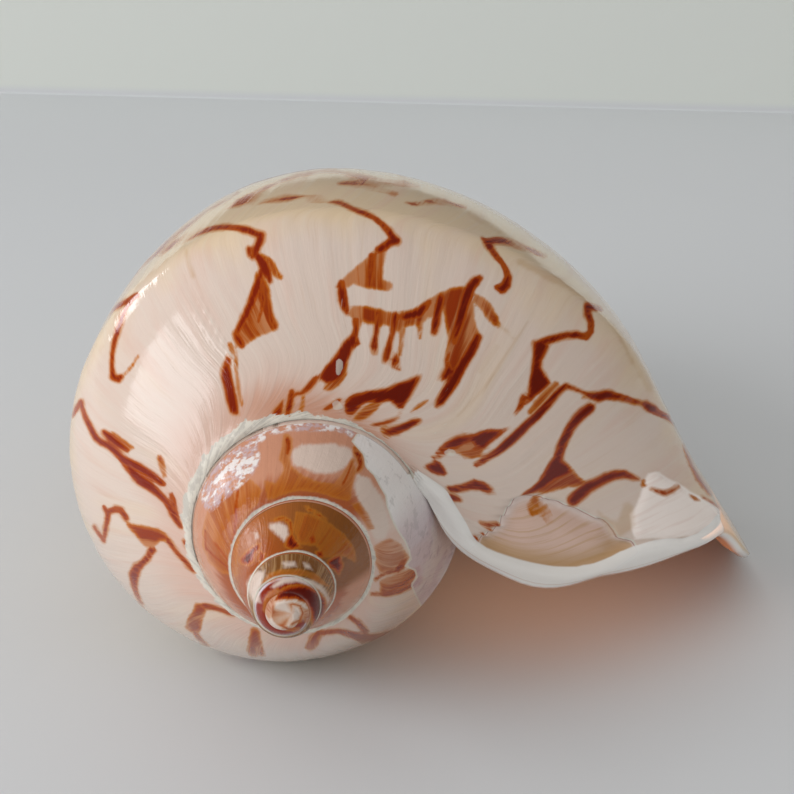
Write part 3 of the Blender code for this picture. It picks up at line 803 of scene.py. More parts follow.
SPIRE_AMBER_PATCHES = {
    "left_field": (
        (203, 545), (204, 525), (208, 508), (218, 498), (232, 488), (248, 478), (262, 490), (258, 503),
        (247, 515), (240, 530), (237, 548), (237, 575), (222, 573), (208, 562),
    ),
    "above_second": (
        (264, 480), (276, 484), (284, 470), (286, 450), (291, 466), (303, 476), (318, 482), (334, 484),
        (345, 470), (352, 458), (356, 470), (352, 486), (350, 501), (336, 498), (318, 492), (300, 490),
        (284, 494), (268, 500),
    ),
    "bar_glow": ((284, 434), (292, 436), (291, 452), (285, 466), (279, 460)),
    "near_second_suture": ((352, 503), (360, 503), (368, 514), (374, 528), (369, 530), (360, 516)),
    "second_top": (
        (296, 512), (312, 514), (330, 524), (344, 534), (354, 548), (356, 562), (344, 556), (334, 556),
        (326, 558), (316, 546), (300, 544), (294, 530),
    ),
    "dome_left": ((264, 600), (269, 592), (278, 588), (276, 600), (273, 612), (269, 619), (263, 610)),
    "dome_right": ((303, 608), (311, 610), (313, 618), (307, 624), (303, 617)),
    "third_tan": (
        (262, 583), (268, 574), (280, 570), (300, 569), (316, 574), (328, 586), (322, 584), (306, 576),
        (286, 575), (272, 582),
    ),
    "toe": ((375, 546), (389, 538), (401, 545), (408, 556), (404, 566), (392, 571), (380, 573), (375, 560)),
    "claw_glow": ((380, 580), (396, 574), (412, 568), (419, 572), (410, 582), (396, 592), (380, 595)),
    "low_left": (
        (196, 603), (206, 604), (206, 612), (203, 618), (201, 628), (199, 634), (190, 632), (185, 627),
        (188, 618), (193, 611),
    ),
    "low_middle": ((251, 628), (256, 627), (260, 632), (262, 645), (265, 656), (250, 656), (247, 650)),
    "low_right": ((318, 628), (326, 632), (320, 640), (316, 648), (309, 651), (305, 648), (309, 636)),
    "crown": (
        (124, 518), (130, 523), (138, 525), (150, 527), (160, 529), (168, 535), (171, 543), (166, 541),
        (160, 541), (154, 547), (148, 549), (141, 543), (135, 535), (129, 528),
    ),
}
CREAM_PATCHES = {
    "top": (
        (291, 450), (303, 444), (334, 443), (353, 449), (353, 457), (347, 467), (334, 474), (317, 474),
        (303, 468), (293, 465),
    ),
    "right": (
        (357, 473), (370, 479), (381, 494), (387, 508), (390, 528), (385, 539), (376, 542), (370, 530),
        (362, 510), (353, 486),
    ),
    "second_pale": ((269, 523), (280, 522), (287, 526), (289, 537), (284, 541), (275, 534), (268, 528)),
    "second_dot": ((254, 533), (258, 532), (259, 537), (255, 539)),
    "third_left": (
        (246, 584), (250, 576), (257, 571), (265, 570), (263, 580), (260, 591), (261, 603), (253, 603),
        (248, 593),
    ),
    "third_ring": (
        (270, 587), (280, 579), (295, 576), (313, 580), (324, 587), (331, 599), (328, 607), (323, 595),
        (314, 587), (299, 582), (284, 583), (274, 589),
    ),
    "third_cells": ((282, 562), (295, 561), (297, 567), (284, 568)),
    "third_cells_right": ((303, 562), (309, 564), (313, 570), (305, 569)),
    "under_claw": ((372, 576), (384, 574), (398, 570), (408, 567), (400, 574), (384, 580), (372, 582)),
}
spire_marks = (SPIRE_DARK_PATCHES, SPIRE_DARK_LINES, SPIRE_AMBER_PATCHES, CREAM_PATCHES)
print("marks of the spire:", [len(table) for table in spire_marks])

# %% [markdown]
# ## Glaze, mends, chalk and threads
# Where the last whorl was about to be laid, the animal spread a thin grey-lilac glaze over the
# whorl before, with a jagged edge. Near the lip the shell was broken twice and mended: a pinkish
# tan area that steps down behind a torn edge, and a paler one that swells. Cracks healed as
# chalky threads, and faint tan streaks run with the growth. Their outlines serve twice, for the
# relief and for the finish, so the step and its colour can't drift apart.

# %% Worn patch with painted glitter, glaze, mends and the lip's rolled edge
# Outline of the worn patch by the suture, where white and lilac specks are painted highlight.
ENAMEL_AND_GLITTER = (
    (200, 490), (206, 466), (225, 449), (250, 432), (280, 422), (310, 419), (345, 422), (362, 430),
    (352, 438), (335, 431), (310, 433), (290, 431), (270, 436), (257, 446), (262, 458), (254, 474),
    (240, 488), (226, 500), (210, 513), (202, 508),
)
GLAZE = (
    (352, 441), (358, 448), (364, 455), (366, 467), (374, 475), (380, 486), (386, 496), (387, 506),
    (392, 519), (398, 531), (405, 541), (409, 551), (411, 559), (405, 566), (415, 570), (417, 577),
    (411, 585), (416, 596), (424, 612), (470, 570), (462, 545), (440, 510), (415, 478), (402, 455),
    (390, 446), (376, 428), (362, 428),
)
BREAK = (
    (470, 545), (477, 541), (486, 535), (499, 526), (504, 515), (509, 508), (512, 501), (522, 497),
    (532, 494), (542, 497), (550, 500), (558, 501), (566, 505), (577, 508), (588, 514), (596, 518),
    (604, 519), (611, 525), (615, 531), (619, 538), (634, 541), (636, 552), (604, 576), (560, 584),
    (520, 582), (486, 566), (462, 556),
)
SECOND_BREAK = (
    (645, 478), (648, 473), (658, 471), (668, 478), (679, 483), (689, 490), (702, 497), (716, 505),
    (723, 512), (716, 522), (704, 530), (690, 536), (672, 539), (650, 539), (634, 540), (631, 528),
    (629, 514), (634, 508), (640, 494),
)
LIP_ROLL = (
    (415, 468), (431, 478), (446, 489), (456, 506), (466, 522), (473, 537), (484, 546), (498, 552),
    (516, 558), (536, 563), (556, 566), (576, 566), (592, 563), (606, 558), (618, 552), (632, 546),
    (648, 541), (664, 538), (682, 538), (696, 533), (706, 525), (716, 512), (724, 530), (700, 560),
    (640, 600), (540, 620), (440, 580), (400, 520),
)
print("corners of the torn edge:", len(BREAK), "and of the rolled lip:", len(LIP_ROLL))

# %% Chalky spots, raised threads and tan streaks
CHALK_SPOTS = {
    "blister": (
        (336, 360), (339, 358), (343, 362), (343, 368), (340, 375), (337, 376), (335, 370), (336, 365),
    ),
    "chip": ((443, 452), (450, 448), (457, 452), (452, 458), (447, 457)),
    "cusp": ((331, 398), (338, 400), (343, 406), (341, 412), (333, 409)),
}
SCAR_THREADS = {
    "through_the_post": (
        (341, 284, 0.3), (342, 300, 0.5), (341, 318, 0.5), (343, 332, 0.3), (341, 350, 0.5),
    ),
    "through_the_peak": (
        (474, 296, 0.5), (470, 306, 0.3), (466, 318, 0.5), (462, 328, 0.3), (458, 339, 0.2),
    ),
    "over_the_stroke": (
        (464, 362, 0.5), (460, 370, 0.3), (456, 378, 0.6), (446, 392, 0.5), (439, 402, 0.5), (434, 408, 0.2),
    ),
    "over_the_wedge": ((488, 443, 0.3), (493, 439, 0.5), (498, 437, 0.2)),
    "left_long": (
        (200, 300, 0.6), (208, 315, 0.8), (218, 332, 0.8), (228, 350, 0.7), (236, 366, 0.5), (238, 374, 0.2),
    ),
    "left_short": ((192, 306, 0.3), (200, 320, 0.5), (208, 334, 0.5), (216, 348, 0.2)),
    "river_crack": ((146, 469, 0.5), (154, 475, 0.6), (161, 482, 0.3)),
    "knobbly": ((452, 418, 0.7), (445, 424, 0.8), (437, 430, 1.0), (432, 437, 0.8)),
}
TAN_STREAKS = {
    "right_long": (
        (528, 322, 1.4), (516, 340, 1.6), (505, 357, 1.6), (494, 374, 1.8), (482, 390, 1.8), (470, 404, 1.6),
        (458, 416, 1.2),
    ),
    "right_second": ((497, 346, 1.2), (488, 360, 1.4), (480, 372, 1.2)),
    "right_third": ((500, 326, 1.0), (508, 332, 1.2), (514, 340, 1.0)),
    "far_side": ((612, 322, 3.0), (622, 336, 4.0), (632, 354, 5.0), (642, 372, 5.0), (650, 388, 4.0)),
    "upper_edge": ((520, 262, 4.0), (545, 274, 4.0), (570, 288, 4.0), (590, 300, 3.0)),
    "top_right": ((470, 212, 3.0), (486, 222, 3.5), (500, 232, 3.0)),
    "between_breaks": ((598, 512, 2.0), (608, 522, 4.0), (618, 530, 7.0), (625, 524, 8.0), (628, 508, 6.0)),
    "left_faint": ((186, 250, 1.0), (189, 264, 1.0), (193, 276, 1.2)),
}
print("spots, threads and streaks:", len(CHALK_SPOTS), len(SCAR_THREADS), len(TAN_STREAKS))

# %% [markdown]
# ## From the picture to the shell
# A mark is a line or an outline in the picture, and the shell is a cloud of points behind it.
# Projecting a drawn image would smear at the far edge. So each point that faces the camera is
# taken to its place in the picture and measured against the marks there. The gain makes every
# stroke a little thinner than it was read.

# %% How deep inside a mark a point lies
STROKE_GAIN = -0.2


def in_lines(at, lines):
    """How far inside the nearest stroke each picture point lies; negative outside."""
    best = np.full(len(at), -FAR)
    for line in lines.values():
        spine = np.array(line, float)
        for start, end in zip(spine[:-1], spine[1:]):
            leg = end[:2] - start[:2]
            share = np.clip((at - start[:2]) @ leg / max(leg @ leg, NEVER_ZERO), 0.0, 1.0)
            off = np.hypot(*(at - start[:2] - share[:, None] * leg).T)
            best = np.maximum(best, start[2] + share * (end[2] - start[2]) - off)
    return best + STROKE_GAIN


def in_patch(at, corners):
    """Distance from a patch's edge, positive inside it."""
    rim = np.array(corners, float)
    nearest = np.full(len(at), FAR)
    inside_of = np.zeros(len(at), bool)
    for start, end in zip(rim, np.roll(rim, -1, axis=0)):
        leg = end - start
        share = np.clip((at - start) @ leg / max(leg @ leg, NEVER_ZERO), 0.0, 1.0)
        nearest = np.minimum(nearest, np.hypot(*(at - start - share[:, None] * leg).T))
        spans = (start[1] > at[:, 1]) != (end[1] > at[:, 1])
        rise = end[1] - start[1] if end[1] != start[1] else NEVER_ZERO
        left_of = at[:, 0] < start[0] + (at[:, 1] - start[1]) * leg[0] / rise
        inside_of ^= spans & left_of
    return np.where(inside_of, nearest, -nearest)


def in_patches(at, patches):
    return np.max([in_patch(at, corners) for corners in patches.values()], axis=0)


print(len(DARK_LINES) + len(DARK_PATCHES), "dark and", len(AMBER_LINES) + len(AMBER_PATCHES), "amber marks")

# %% Setting the marks on the shell
FACING_LEAST = 0.02
OUTSIDE_DEPTH = 0.3
NOT_MARKED = -30.0
OLDER_FROM = -0.6

on_outside = read_held(skin, "inside") < OUTSIDE_DEPTH
seen = on_outside & (facing > FACING_LEAST)
at = seen_at[seen]
on_older = read_held(skin, "turn")[seen] < OLDER_FROM
dark_marks = [
    in_lines(at, DARK_LINES),
    in_lines(at, SPIRE_DARK_LINES),
    in_patches(at, DARK_PATCHES),
    in_patches(at, SPIRE_DARK_PATCHES),
]
amber_marks = [
    in_lines(at, AMBER_LINES),
    in_patches(at, AMBER_PATCHES),
    in_patches(at, SPIRE_AMBER_PATCHES),
]
marks = {
    "dark": np.maximum.reduce(dark_marks),
    "amber": np.maximum.reduce(amber_marks),
    "cream": in_patches(at, CREAM_PATCHES),
    "enamel_and_glitter": np.where(on_older, in_patch(at, ENAMEL_AND_GLITTER), NOT_MARKED),
    "glaze": np.where(on_older, in_patch(at, GLAZE), NOT_MARKED),
    "break": in_patch(at, BREAK),
    "second_break": in_patch(at, SECOND_BREAK),
    "chalk": np.maximum(in_patches(at, CHALK_SPOTS), in_lines(at, SCAR_THREADS)),
    "tan": in_lines(at, TAN_STREAKS),
    "lip_roll": np.where(on_older, NOT_MARKED, in_patch(at, LIP_ROLL)),
}
for name, values in marks.items():
    full = np.full(len(seen_at), NOT_MARKED)
    full[seen] = values
    hold(skin, name, full)
hold(skin, "facing", facing)
print("marks set on", int(seen.sum()), "of", len(seen), "points")

# %% [markdown]
# ## Growth waves and the chalky ridge
# The skin follows the law exactly, and a real shell doesn't. It swells and sinks a little with
# each spell of growth, and a crumbly chalk ridge stands where one whorl meets the next. Both
# could be sculpted with a brush. Here the points move along their normals by a fraction of a
# millimetre, in the terms of the law, so that the relief turns with the spiral.

# %% Waves and ridge
CHALK_TURNS = (-3.0, -2.0, -1.2, -0.9, -0.5, -0.3, -0.15, 0.0)
CHALK_WIDTHS = (0.16, 0.26, 0.36, 0.50, 1.10, 1.80, 2.40, 2.80)
CHALK_HEIGHT = 0.15
CRUMBLING = 0.4
CRUMBS = ((41.0, 0.0, 1.0), (97.0, 1.0, 0.7), (211.0, 0.0, 0.5))
RIDGE_PLACE = 0.45
RIDGE_HALF_WIDTH = 0.5
SWEEP_LEAST = 0.3
SWEEP_FROM = -0.42
SWEEP_TURNS = 0.37
FULL_WAVE_RADIUS = 40.0
WAVES = ((23.0, 0.4, 0.030), (57.0, 0.6, 0.022), (131.0, 1.0, 0.014))

turn_of = read_held(skin, "turn")
place_of = read_held(skin, "place")
sweep_share = SWEEP_LEAST + (1 - SWEEP_LEAST) * smooth_step((turn_of - SWEEP_FROM) / SWEEP_TURNS)
growth = turn_of - sweep_share * lip_advance(np.clip(place_of, 0.0, 2.0))
hold(skin, "growth", growth)
chalk_width = np.interp(turn_of, CHALK_TURNS, CHALK_WIDTHS)
hold(skin, "chalk_width", chalk_width)
crumbly = sum(share * np.sin(rate * turn_of + start) for rate, start, share in CRUMBS)
ridge = bump(read_held(skin, "from_suture") / chalk_width, RIDGE_PLACE, RIDGE_HALF_WIDTH)
lift = CHALK_HEIGHT * chalk_width * (1 + CRUMBLING * crumbly) * ridge
wave_share = np.clip(profile(place_of, turn_of)[0] / FULL_WAVE_RADIUS, 0.0, 1.0) ** 2
for per_turn, per_place, height in WAVES:
    cycles = per_turn * growth + per_place * place_of
    lift = lift + height * wave_share * np.sin(2 * math.pi * cycles)
print("highest ridge or wave:", round(float(lift.max()), 2), "mm")

# %% [markdown]
# ## Mended breaks, threads and the rolled lip
# By the lip the shell was broken and grown on from below, so the newer shell lies a step
# lower behind a torn edge. A second mend swells a little. Old cracks left raised threads, and
# the lip's edge is rolled over. A cut with a boolean would leave hard walls all round. The
# outlines that were read in the picture give the same steps, and let them fade out.

# %% Steps, swells and threads
BREAK_STEP = 0.9
BREAK_EDGE = 1.2
BREAK_REACH = 30.0
LIP_CLEARANCE = 5.0
SECOND_BREAK_SWELL = 0.45
SECOND_BREAK_EDGE = 7.0
THREAD_HEIGHT = 0.12
THREAD_EDGE = 0.5
LIP_ROLL_HEIGHT = 0.7
LIP_ROLL_PIXELS = 21.0
LIP_ROLL_STEEPNESS = 2.5
LIP_ROLL_FADE = 0.6
RIM_FADE = 0.6
FOOT_HEIGHT = 1.0

torn_of = read_held(skin, "break")
roll_of = read_held(skin, "lip_roll")
clear_of_lip = 1 - smooth_step((roll_of + LIP_CLEARANCE) / LIP_CLEARANCE)
sunken = smooth_step(torn_of / BREAK_EDGE) * (1 - smooth_step(torn_of / BREAK_REACH))
lift = lift - BREAK_STEP * sunken * clear_of_lip
lift = lift + SECOND_BREAK_SWELL * smooth_step(read_held(skin, "second_break") / SECOND_BREAK_EDGE)
lift = lift + THREAD_HEIGHT * smooth_step(read_held(skin, "chalk") + THREAD_EDGE)
across_roll = np.clip(roll_of / LIP_ROLL_PIXELS, 0.0, 1.0)
rounded = np.sqrt(1 - (1 - np.minimum(LIP_ROLL_STEEPNESS * across_roll, 1.0)) ** 2)
lift = lift + LIP_ROLL_HEIGHT * rounded * smooth_step((1 - across_roll) / LIP_ROLL_FADE)
outer_share = 1 - smooth_step(read_held(skin, "inside") / RIM_FADE)
lift = np.where(spots[:, 2] < FOOT_HEIGHT * MM, 0.0, lift * outer_share)
write_points(skin, spots + normals * lift[:, None] * MM)

shell = bpy.data.objects.new("volute", skin)
bpy.context.scene.collection.objects.link(shell)
skin.shade_smooth()
print("moved by", round(float(lift.min()), 2), "to", round(float(lift.max()), 2), "mm")

# %% [markdown]
# ## A way to write finishes
# A finish is a tree of nodes. Written node by node it is long and hard to read, so one class
# wraps a socket: arithmetic on it adds the Math nodes. Colours are laid over one another with
# Mix nodes, because a Math node would turn them grey.

# %% A number that varies over the surface
class Tone:
    """A socket that can be added, subtracted and multiplied as a number is."""

    def __init__(self, finish, socket):
        self.finish = finish
        self.socket = socket

    def __add__(self, other):
        return self.finish.work("ADD", self, other)

    def __sub__(self, other):
        return self.finish.work("SUBTRACT", self, other)

    def __rsub__(self, other):
        return self.finish.work("SUBTRACT", other, self)

    def __mul__(self, other):
        return self.finish.work("MULTIPLY", self, other)

    __radd__ = __add__
    __rmul__ = __mul__


print("a Tone can be used in sums and products")


# %% A tree of nodes with short ways to add to it
class Finish:
    """The nodes of a material or of the room's light, round its one shader."""

    def __init__(self, owner):
        owner.use_nodes = True
        self.owner = owner
        self.tree = owner.node_tree
        shaders = ("BSDF_PRINCIPLED", "BACKGROUND")
        self.shader = next(node for node in self.tree.nodes if node.type in shaders)

    def add(self, kind, settings=None, inputs=None, output=0):
        """A node with its settings made first, then its sockets' values or links."""
        node = self.tree.nodes.new(kind)
        for name, value in (settings or {}).items():
            setattr(node, name, value)
        for key, value in (inputs or {}).items():
            self.feed(node.inputs[key], value)
        return node.outputs[output]

    def feed(self, socket, value):
        value = getattr(value, "socket", value)
        if isinstance(value, bpy.types.NodeSocket):
            self.tree.links.new(value, socket)
        else:
            socket.default_value = value

    def work(self, operation, *values):
        made = self.add("ShaderNodeMath", {"operation": operation}, dict(enumerate(values)))
        return Tone(self, made)

    def held(self, name):
        return Tone(self, self.add("ShaderNodeAttribute", {"attribute_name": name}, output="Fac"))

    def vector(self, x, y, z):
        return self.add("ShaderNodeCombineXYZ", inputs={0: x, 1: y, 2: z})

    def part_of(self, vector, axis):
        return Tone(self, self.add("ShaderNodeSeparateXYZ", inputs={0: vector}, output=axis))

    def noise(self, vector, scale, detail=2.0, roughness=0.5):
        inputs = {"Vector": vector, "Scale": scale, "Detail": detail, "Roughness": roughness}
        return Tone(self, self.add("ShaderNodeTexNoise", inputs=inputs))

    def band(self, value, low, high):
        """0 below low, 1 above high and smooth between; low may be the greater."""
        settings = {"interpolation_type": "SMOOTHSTEP"}
        if low > high:
            return 1 - self.band(value, high, low)
        return Tone(self, self.add("ShaderNodeMapRange", settings, {0: value, 1: low, 2: high}))

    def strip(self, value, start, full, fading, gone):
        """1 between full and fading, and 0 outside start and gone."""
        return self.band(value, start, full) * self.band(value, gone, fading)

    def spread(self, value, low, high, at_low, at_high):
        """A straight change from one value to the other."""
        inputs = {0: value, 1: low, 2: high, 3: at_low, 4: at_high}
        return Tone(self, self.add("ShaderNodeMapRange", inputs=inputs))

    def ruffle(self, value, *stirs):
        """A value with noises added, each swinging about zero with the strength given."""
        for strength, noise in stirs:
            value = value + strength * (noise - 0.5)
        return value

    def blend(self, share, under, over):
        """One colour over another; sockets 6, 7 and 2 are the Mix node's own for colours."""
        settings = {"data_type": "RGBA"}
        return self.add("ShaderNodeMix", settings, {0: share, 6: under, 7: over}, output=2)

    def layers(self, under, *coats):
        """Coats laid over a colour in turn, each given as its share and its colour."""
        for share, over in coats:
            under = self.blend(share, under, over)
        return under

    def give(self, **sockets):
        """Values or links for the shader's own sockets, named with _ for a space."""
        for name, value in sockets.items():
            self.feed(self.shader.inputs[name.replace("_", " ")], value)


def paint(code):
    """A colour written as six hexadecimal digits, as light values by the sRGB curve."""
    shares = [int(code[n : n + 2], 16) / 255 for n in (0, 2, 4)]
    light = (s / 12.92 if s <= 0.04045 else ((s + 0.055) / 1.055) ** 2.4 for s in shares)
    return tuple(light) + (1.0,)


print("a cream in light values:", [round(value, 2) for value in paint("DCC9BB")])

# %% [markdown]
# ## Colours of the shell
# The ground is pinkish cream, the spire salmon and brown, and the marks run from dark
# red-brown through rust to amber. They were matched by rendering, because the light and the
# gloss change every colour on its way to the picture.

# %% Colours
CREAM = paint("DCC9BB")
YELLOW_CREAM = paint("E2C9A4")
PINK = paint("D8AF9C")
SALMON = paint("C98F72")
BURNT = paint("A04810")
OLIVE = paint("7A4A1A")
DARK = paint("5C0D00")
RED_BROWN = paint("882200")
RUST = paint("AA4A06")
AMBER = paint("C0741F")
TAN = paint("C09A68")
CHALK = paint("DDDACC")
BROWN_SALMON = paint("AC622E")
LILAC = paint("C4B4BC")
ENAMEL_GREY = paint("7F7876")
PEACH = paint("E8935F")
RIM_WHITE = paint("F4F2ED")
MENDED = paint("D8B5A2")
MENDED_PINK = paint("EAD6CC")
MENDED_TAN = paint("BE9560")
# Pale pink of the second mend, whitened to nearly white as painted light.
SCALLOP_PINK_AND_PAINTED_LIGHT = paint("FFF3EA")
print("colours of the shell set")

# %% [markdown]
# ## Growth lines
# The shell is laid down in fine layers, so nearly all of its texture runs along the lip's edge
# as it stood at the time. A noise that changes fast with the growth and slowly from place to
# place gives such lines. The mesh holds the growth, so they follow every whorl. Noises on the
# object's own coordinates add clouds, grains and specks that don't follow it.

# %% Growth lines, clouds and grains
FINE_LINES = 430.0
BROAD_LINES = 95.0
WIDE_BANDS = 26.0
CLOUDS = 60.0
GRAINS = 330.0
SPECKS = 900.0
FACING_EDGE = (0.015, 0.05)

glossy = Finish(bpy.data.materials.new("glossy_shell"))
band, strip, ruffle, layers = glossy.band, glossy.strip, glossy.ruffle, glossy.layers
turn = glossy.held("turn")
place = glossy.held("place")
grown_at = glossy.held("growth")
inner_depth = glossy.held("inside")
by_suture = glossy.held("from_suture")
to_next = glossy.held("to_suture")
chalk_wide = glossy.held("chalk_width")
in_view = band(glossy.held("facing"), *FACING_EDGE)
over_shell = glossy.add("ShaderNodeTexCoord", output="Object")
fine_streak = glossy.noise(glossy.vector(grown_at * FINE_LINES, place * 3.0, 0.0), 1.0, 3.0, 0.6)
broad_streak = glossy.noise(glossy.vector(grown_at * BROAD_LINES, place * 2.0, 3.0), 1.0, 3.0, 0.55)
wide_band = glossy.noise(glossy.vector(grown_at * WIDE_BANDS, place * 1.2, 7.0), 1.0, 2.0, 0.5)
cloud = glossy.noise(over_shell, CLOUDS, 3.0, 0.5)
speck = glossy.noise(over_shell, SPECKS, 2.0, 0.6)
grain = glossy.noise(over_shell, GRAINS, 3.0, 0.6)
print("growth lines follow the lip's edge")

# %% [markdown]
# ## The ground of the last whorl
# The cream turns yellower towards the greatest radius and pinker by the suture, and salmon
# beside it in the last quarter of a turn. Painting this by hand would need an image. Each
# change is a share that depends on place or on the distance from the suture instead, and the
# noises keep its edge from showing.

# %% Cream, yellow and pink
yellowing = band(ruffle(place, (0.5, cloud), (0.3, wide_band)), 0.70, 1.0)
rosy = band(ruffle(by_suture, (14.0, wide_band)), 13.0, 2.0)
flush = strip(turn, -0.30, -0.20, -0.08, -0.03)
flush = flush * band(ruffle(by_suture, (6.0, broad_streak)), 8.0, 3.0)
last_whorl = layers(
    CREAM,
    (yellowing * 0.9, YELLOW_CREAM),
    (rosy * 0.65, PINK),
    (flush * 0.75, SALMON),
    (band(broad_streak, 0.50, 0.72) * 0.30, PINK),
    (band(wide_band, 0.55, 0.75) * 0.30, YELLOW_CREAM),
    (band(fine_streak, 0.50, 0.72) * 0.14, CHALK),
    (band(fine_streak, 0.44, 0.28) * 0.10, TAN),
)
print("ground of the last whorl laid")

# %% [markdown]
# ## The ground of the spire
# Each older whorl is browner: salmon and burnt by its suture, then brown, olive and red-brown,
# down to the pale first turns. The turn that the mesh holds tells the whorls apart, so one
# material serves them all and no seam has to be cut.

# %% Older whorls
older_whorls = band(ruffle(turn, (0.06, cloud)), -0.985, -1.05)
whorl_a = layers(SALMON, (band(ruffle(by_suture, (5.0, broad_streak)), 5.0, 1.5) * 0.85, BURNT))
whorl_b = layers(
    BROWN_SALMON,
    (band(ruffle(by_suture, (5.0, broad_streak)), 6.0, 2.0) * 0.7, BURNT),
    (band(ruffle(turn, (0.2, cloud)), -2.30, -2.05) * 0.75, OLIVE),
)
whorl_c = layers(OLIVE, (band(broad_streak, 0.45, 0.62) * 0.5, TAN))
whorl_d = layers(RED_BROWN, (band(ruffle(to_next, (1.0, cloud)), 0.9, 0.5), LILAC))
ground = layers(
    last_whorl,
    (older_whorls, whorl_a),
    (band(turn, -1.88, -1.92), whorl_b),
    (band(turn, -2.88, -2.92), whorl_c),
    (band(turn, -3.88, -3.92), whorl_d),
    (band(turn, -4.85, -4.95), CREAM),
)
print("ground of the spire laid")

# %% [markdown]
# ## Colours of the mended breaks
# New shell inside the break starts out pale pink and turns tan towards the lip. The torn edge
# has pale chalk outside it and a dark line just inside. The second mend is pale pink, made
# nearly white with painted light. Both use the outlines that also shaped them. The brown marks
# are laid on later, because a few of them lie on the mends.

# %% Mended breaks
torn = ruffle(glossy.held("break"), (1.2, speck))
deep_in = band(ruffle(torn, (9.0, cloud)), 2.0, 12.0)
near_lip = band(ruffle(glossy.held("lip_roll"), (14.0, broad_streak)), -22.0, -3.0)
scallops = ruffle(glossy.held("second_break"), (1.2, speck))
mended = layers(
    ground,
    (band(torn, -0.3, 0.5) * in_view * 0.92, MENDED_PINK),
    (deep_in * in_view * 0.85, MENDED),
    (near_lip * band(torn, 0.5, 4.0) * in_view * 0.7, MENDED_TAN),
    (deep_in * band(fine_streak, 0.46, 0.66) * in_view * 0.45, MENDED_TAN),
    (strip(torn, -1.6, -0.7, -0.3, 0.3) * in_view * 0.9, CHALK),
    (strip(torn, 0.1, 0.6, 0.9, 1.6) * in_view * 0.55, RED_BROWN),
    # The second mend: its pale pink whitened as painted light.
    (band(ruffle(scallops, (3.0, broad_streak)), -1.0, 2.5) * in_view * 0.95, SCALLOP_PINK_AND_PAINTED_LIGHT),
    (band(scallops, 1.0, 4.0) * band(fine_streak, 0.48, 0.66) * in_view * 0.2, PINK),
)
print("mended breaks coloured")

# %% [markdown]
# ## Brown marks of the side in view
# The lines are dark where the pigment was laid on thick, and fade through rust to amber where
# it was thin. Their edges are ragged along the growth lines, because the mantle laid them down
# line by line. Each tone starts a little further inside the mark than the one before, and the
# streaks are added to that distance, so the edge itself is torn and not only tinted.

# %% Amber, rust and dark
ragged = ruffle(0.0, (1.5, fine_streak), (1.4, grain), (1.2, speck))
dark = glossy.held("dark") + ragged
amber = glossy.held("amber") + 1.6 * ragged
cream = glossy.held("cream") + 2.4 * ragged
on_spire = band(turn, -0.84, -0.92)
late = band(ruffle(turn, (0.08, cloud)), -0.22, -0.06)
thin = band(ruffle(broad_streak, (0.5, fine_streak)), 0.36, 0.60)
thick = band(ruffle(broad_streak, (0.6, wide_band), (0.3, fine_streak)), 0.42, 0.60)
soft = 1 - 0.6 * on_spire
tan = band(ruffle(glossy.held("tan"), (10.0, broad_streak)), -2.5, 3.0) * in_view
halo = band(ruffle(dark, (5.0, broad_streak), (2.0, cloud)), -3.0, 0.2) * 0.75
inner_dark = ruffle(dark, (5.0, broad_streak), (4.0, fine_streak))
deep = 0.15 + 0.55 * late + 0.80 * on_spire
marked = layers(
    mended,
    (band(cream, -2.0, 3.0) * in_view * 0.9, CREAM),
    (band(amber, -2.0, 1.0) * in_view * (0.80 + 0.20 * thin) * (1 - 0.3 * on_spire), AMBER),
    (band(amber, -0.2, 2.4) * in_view * (0.3 + 0.7 * thin) * soft, RUST),
    (band(amber, 1.5, 4.5) * in_view * thick * soft * 0.7, RED_BROWN),
    (tan * 0.4, TAN),
    (halo * band(amber, 1.0, -1.0) * in_view, AMBER),
    (band(dark, -1.0, 0.9) * in_view, RUST),
    (band(inner_dark, 0.4, 2.8) * in_view, RED_BROWN),
    (band(inner_dark, 1.8, 4.0) * deep * in_view, DARK),
)
print("marks of the side in view laid")

# %% [markdown]
# ## Zigzags of the hidden side
# Nothing shows the far side, so its lines come from a rule: lines that run along the whorl are
# bent to and fro as the growth goes on, and a noise makes them thick and thin. They start where
# the marks that were read in the picture end.

# %% Zigzag lines from the growth
BENDS_PER_TURN = 5.5
LINES_PER_PLACE = 3.4
BEND_REACH = 1.3
LINE_LEAST = 0.02
LINE_SWELL = 0.10
SWELLS = 35.0

wave = glossy.work("PINGPONG", grown_at * BENDS_PER_TURN + 0.35 * cloud, 0.5)
stripes = glossy.work("FRACT", ruffle(place * LINES_PER_PLACE + BEND_REACH * wave, (0.25, cloud)))
from_stripe = 0.5 - glossy.work("ABSOLUTE", stripes - 0.5)
stripe_width = LINE_LEAST + LINE_SWELL * band(glossy.noise(over_shell, SWELLS), 0.3, 0.7)
edge = ruffle(stripe_width - from_stripe, (0.05, fine_streak))
hidden = (1 - in_view) * band(turn, -1.05, -0.95) * band(inner_depth, 0.9, 0.2)
hidden = hidden * band(place, 1.9, 1.75)
patterned = layers(
    marked,
    (band(edge, -0.03, 0.02) * hidden * 0.8, AMBER),
    (band(edge, 0.0, 0.05) * hidden, RED_BROWN),
    (band(edge, 0.03, 0.09) * hidden, DARK),
)
print("zigzags of the hidden side laid")
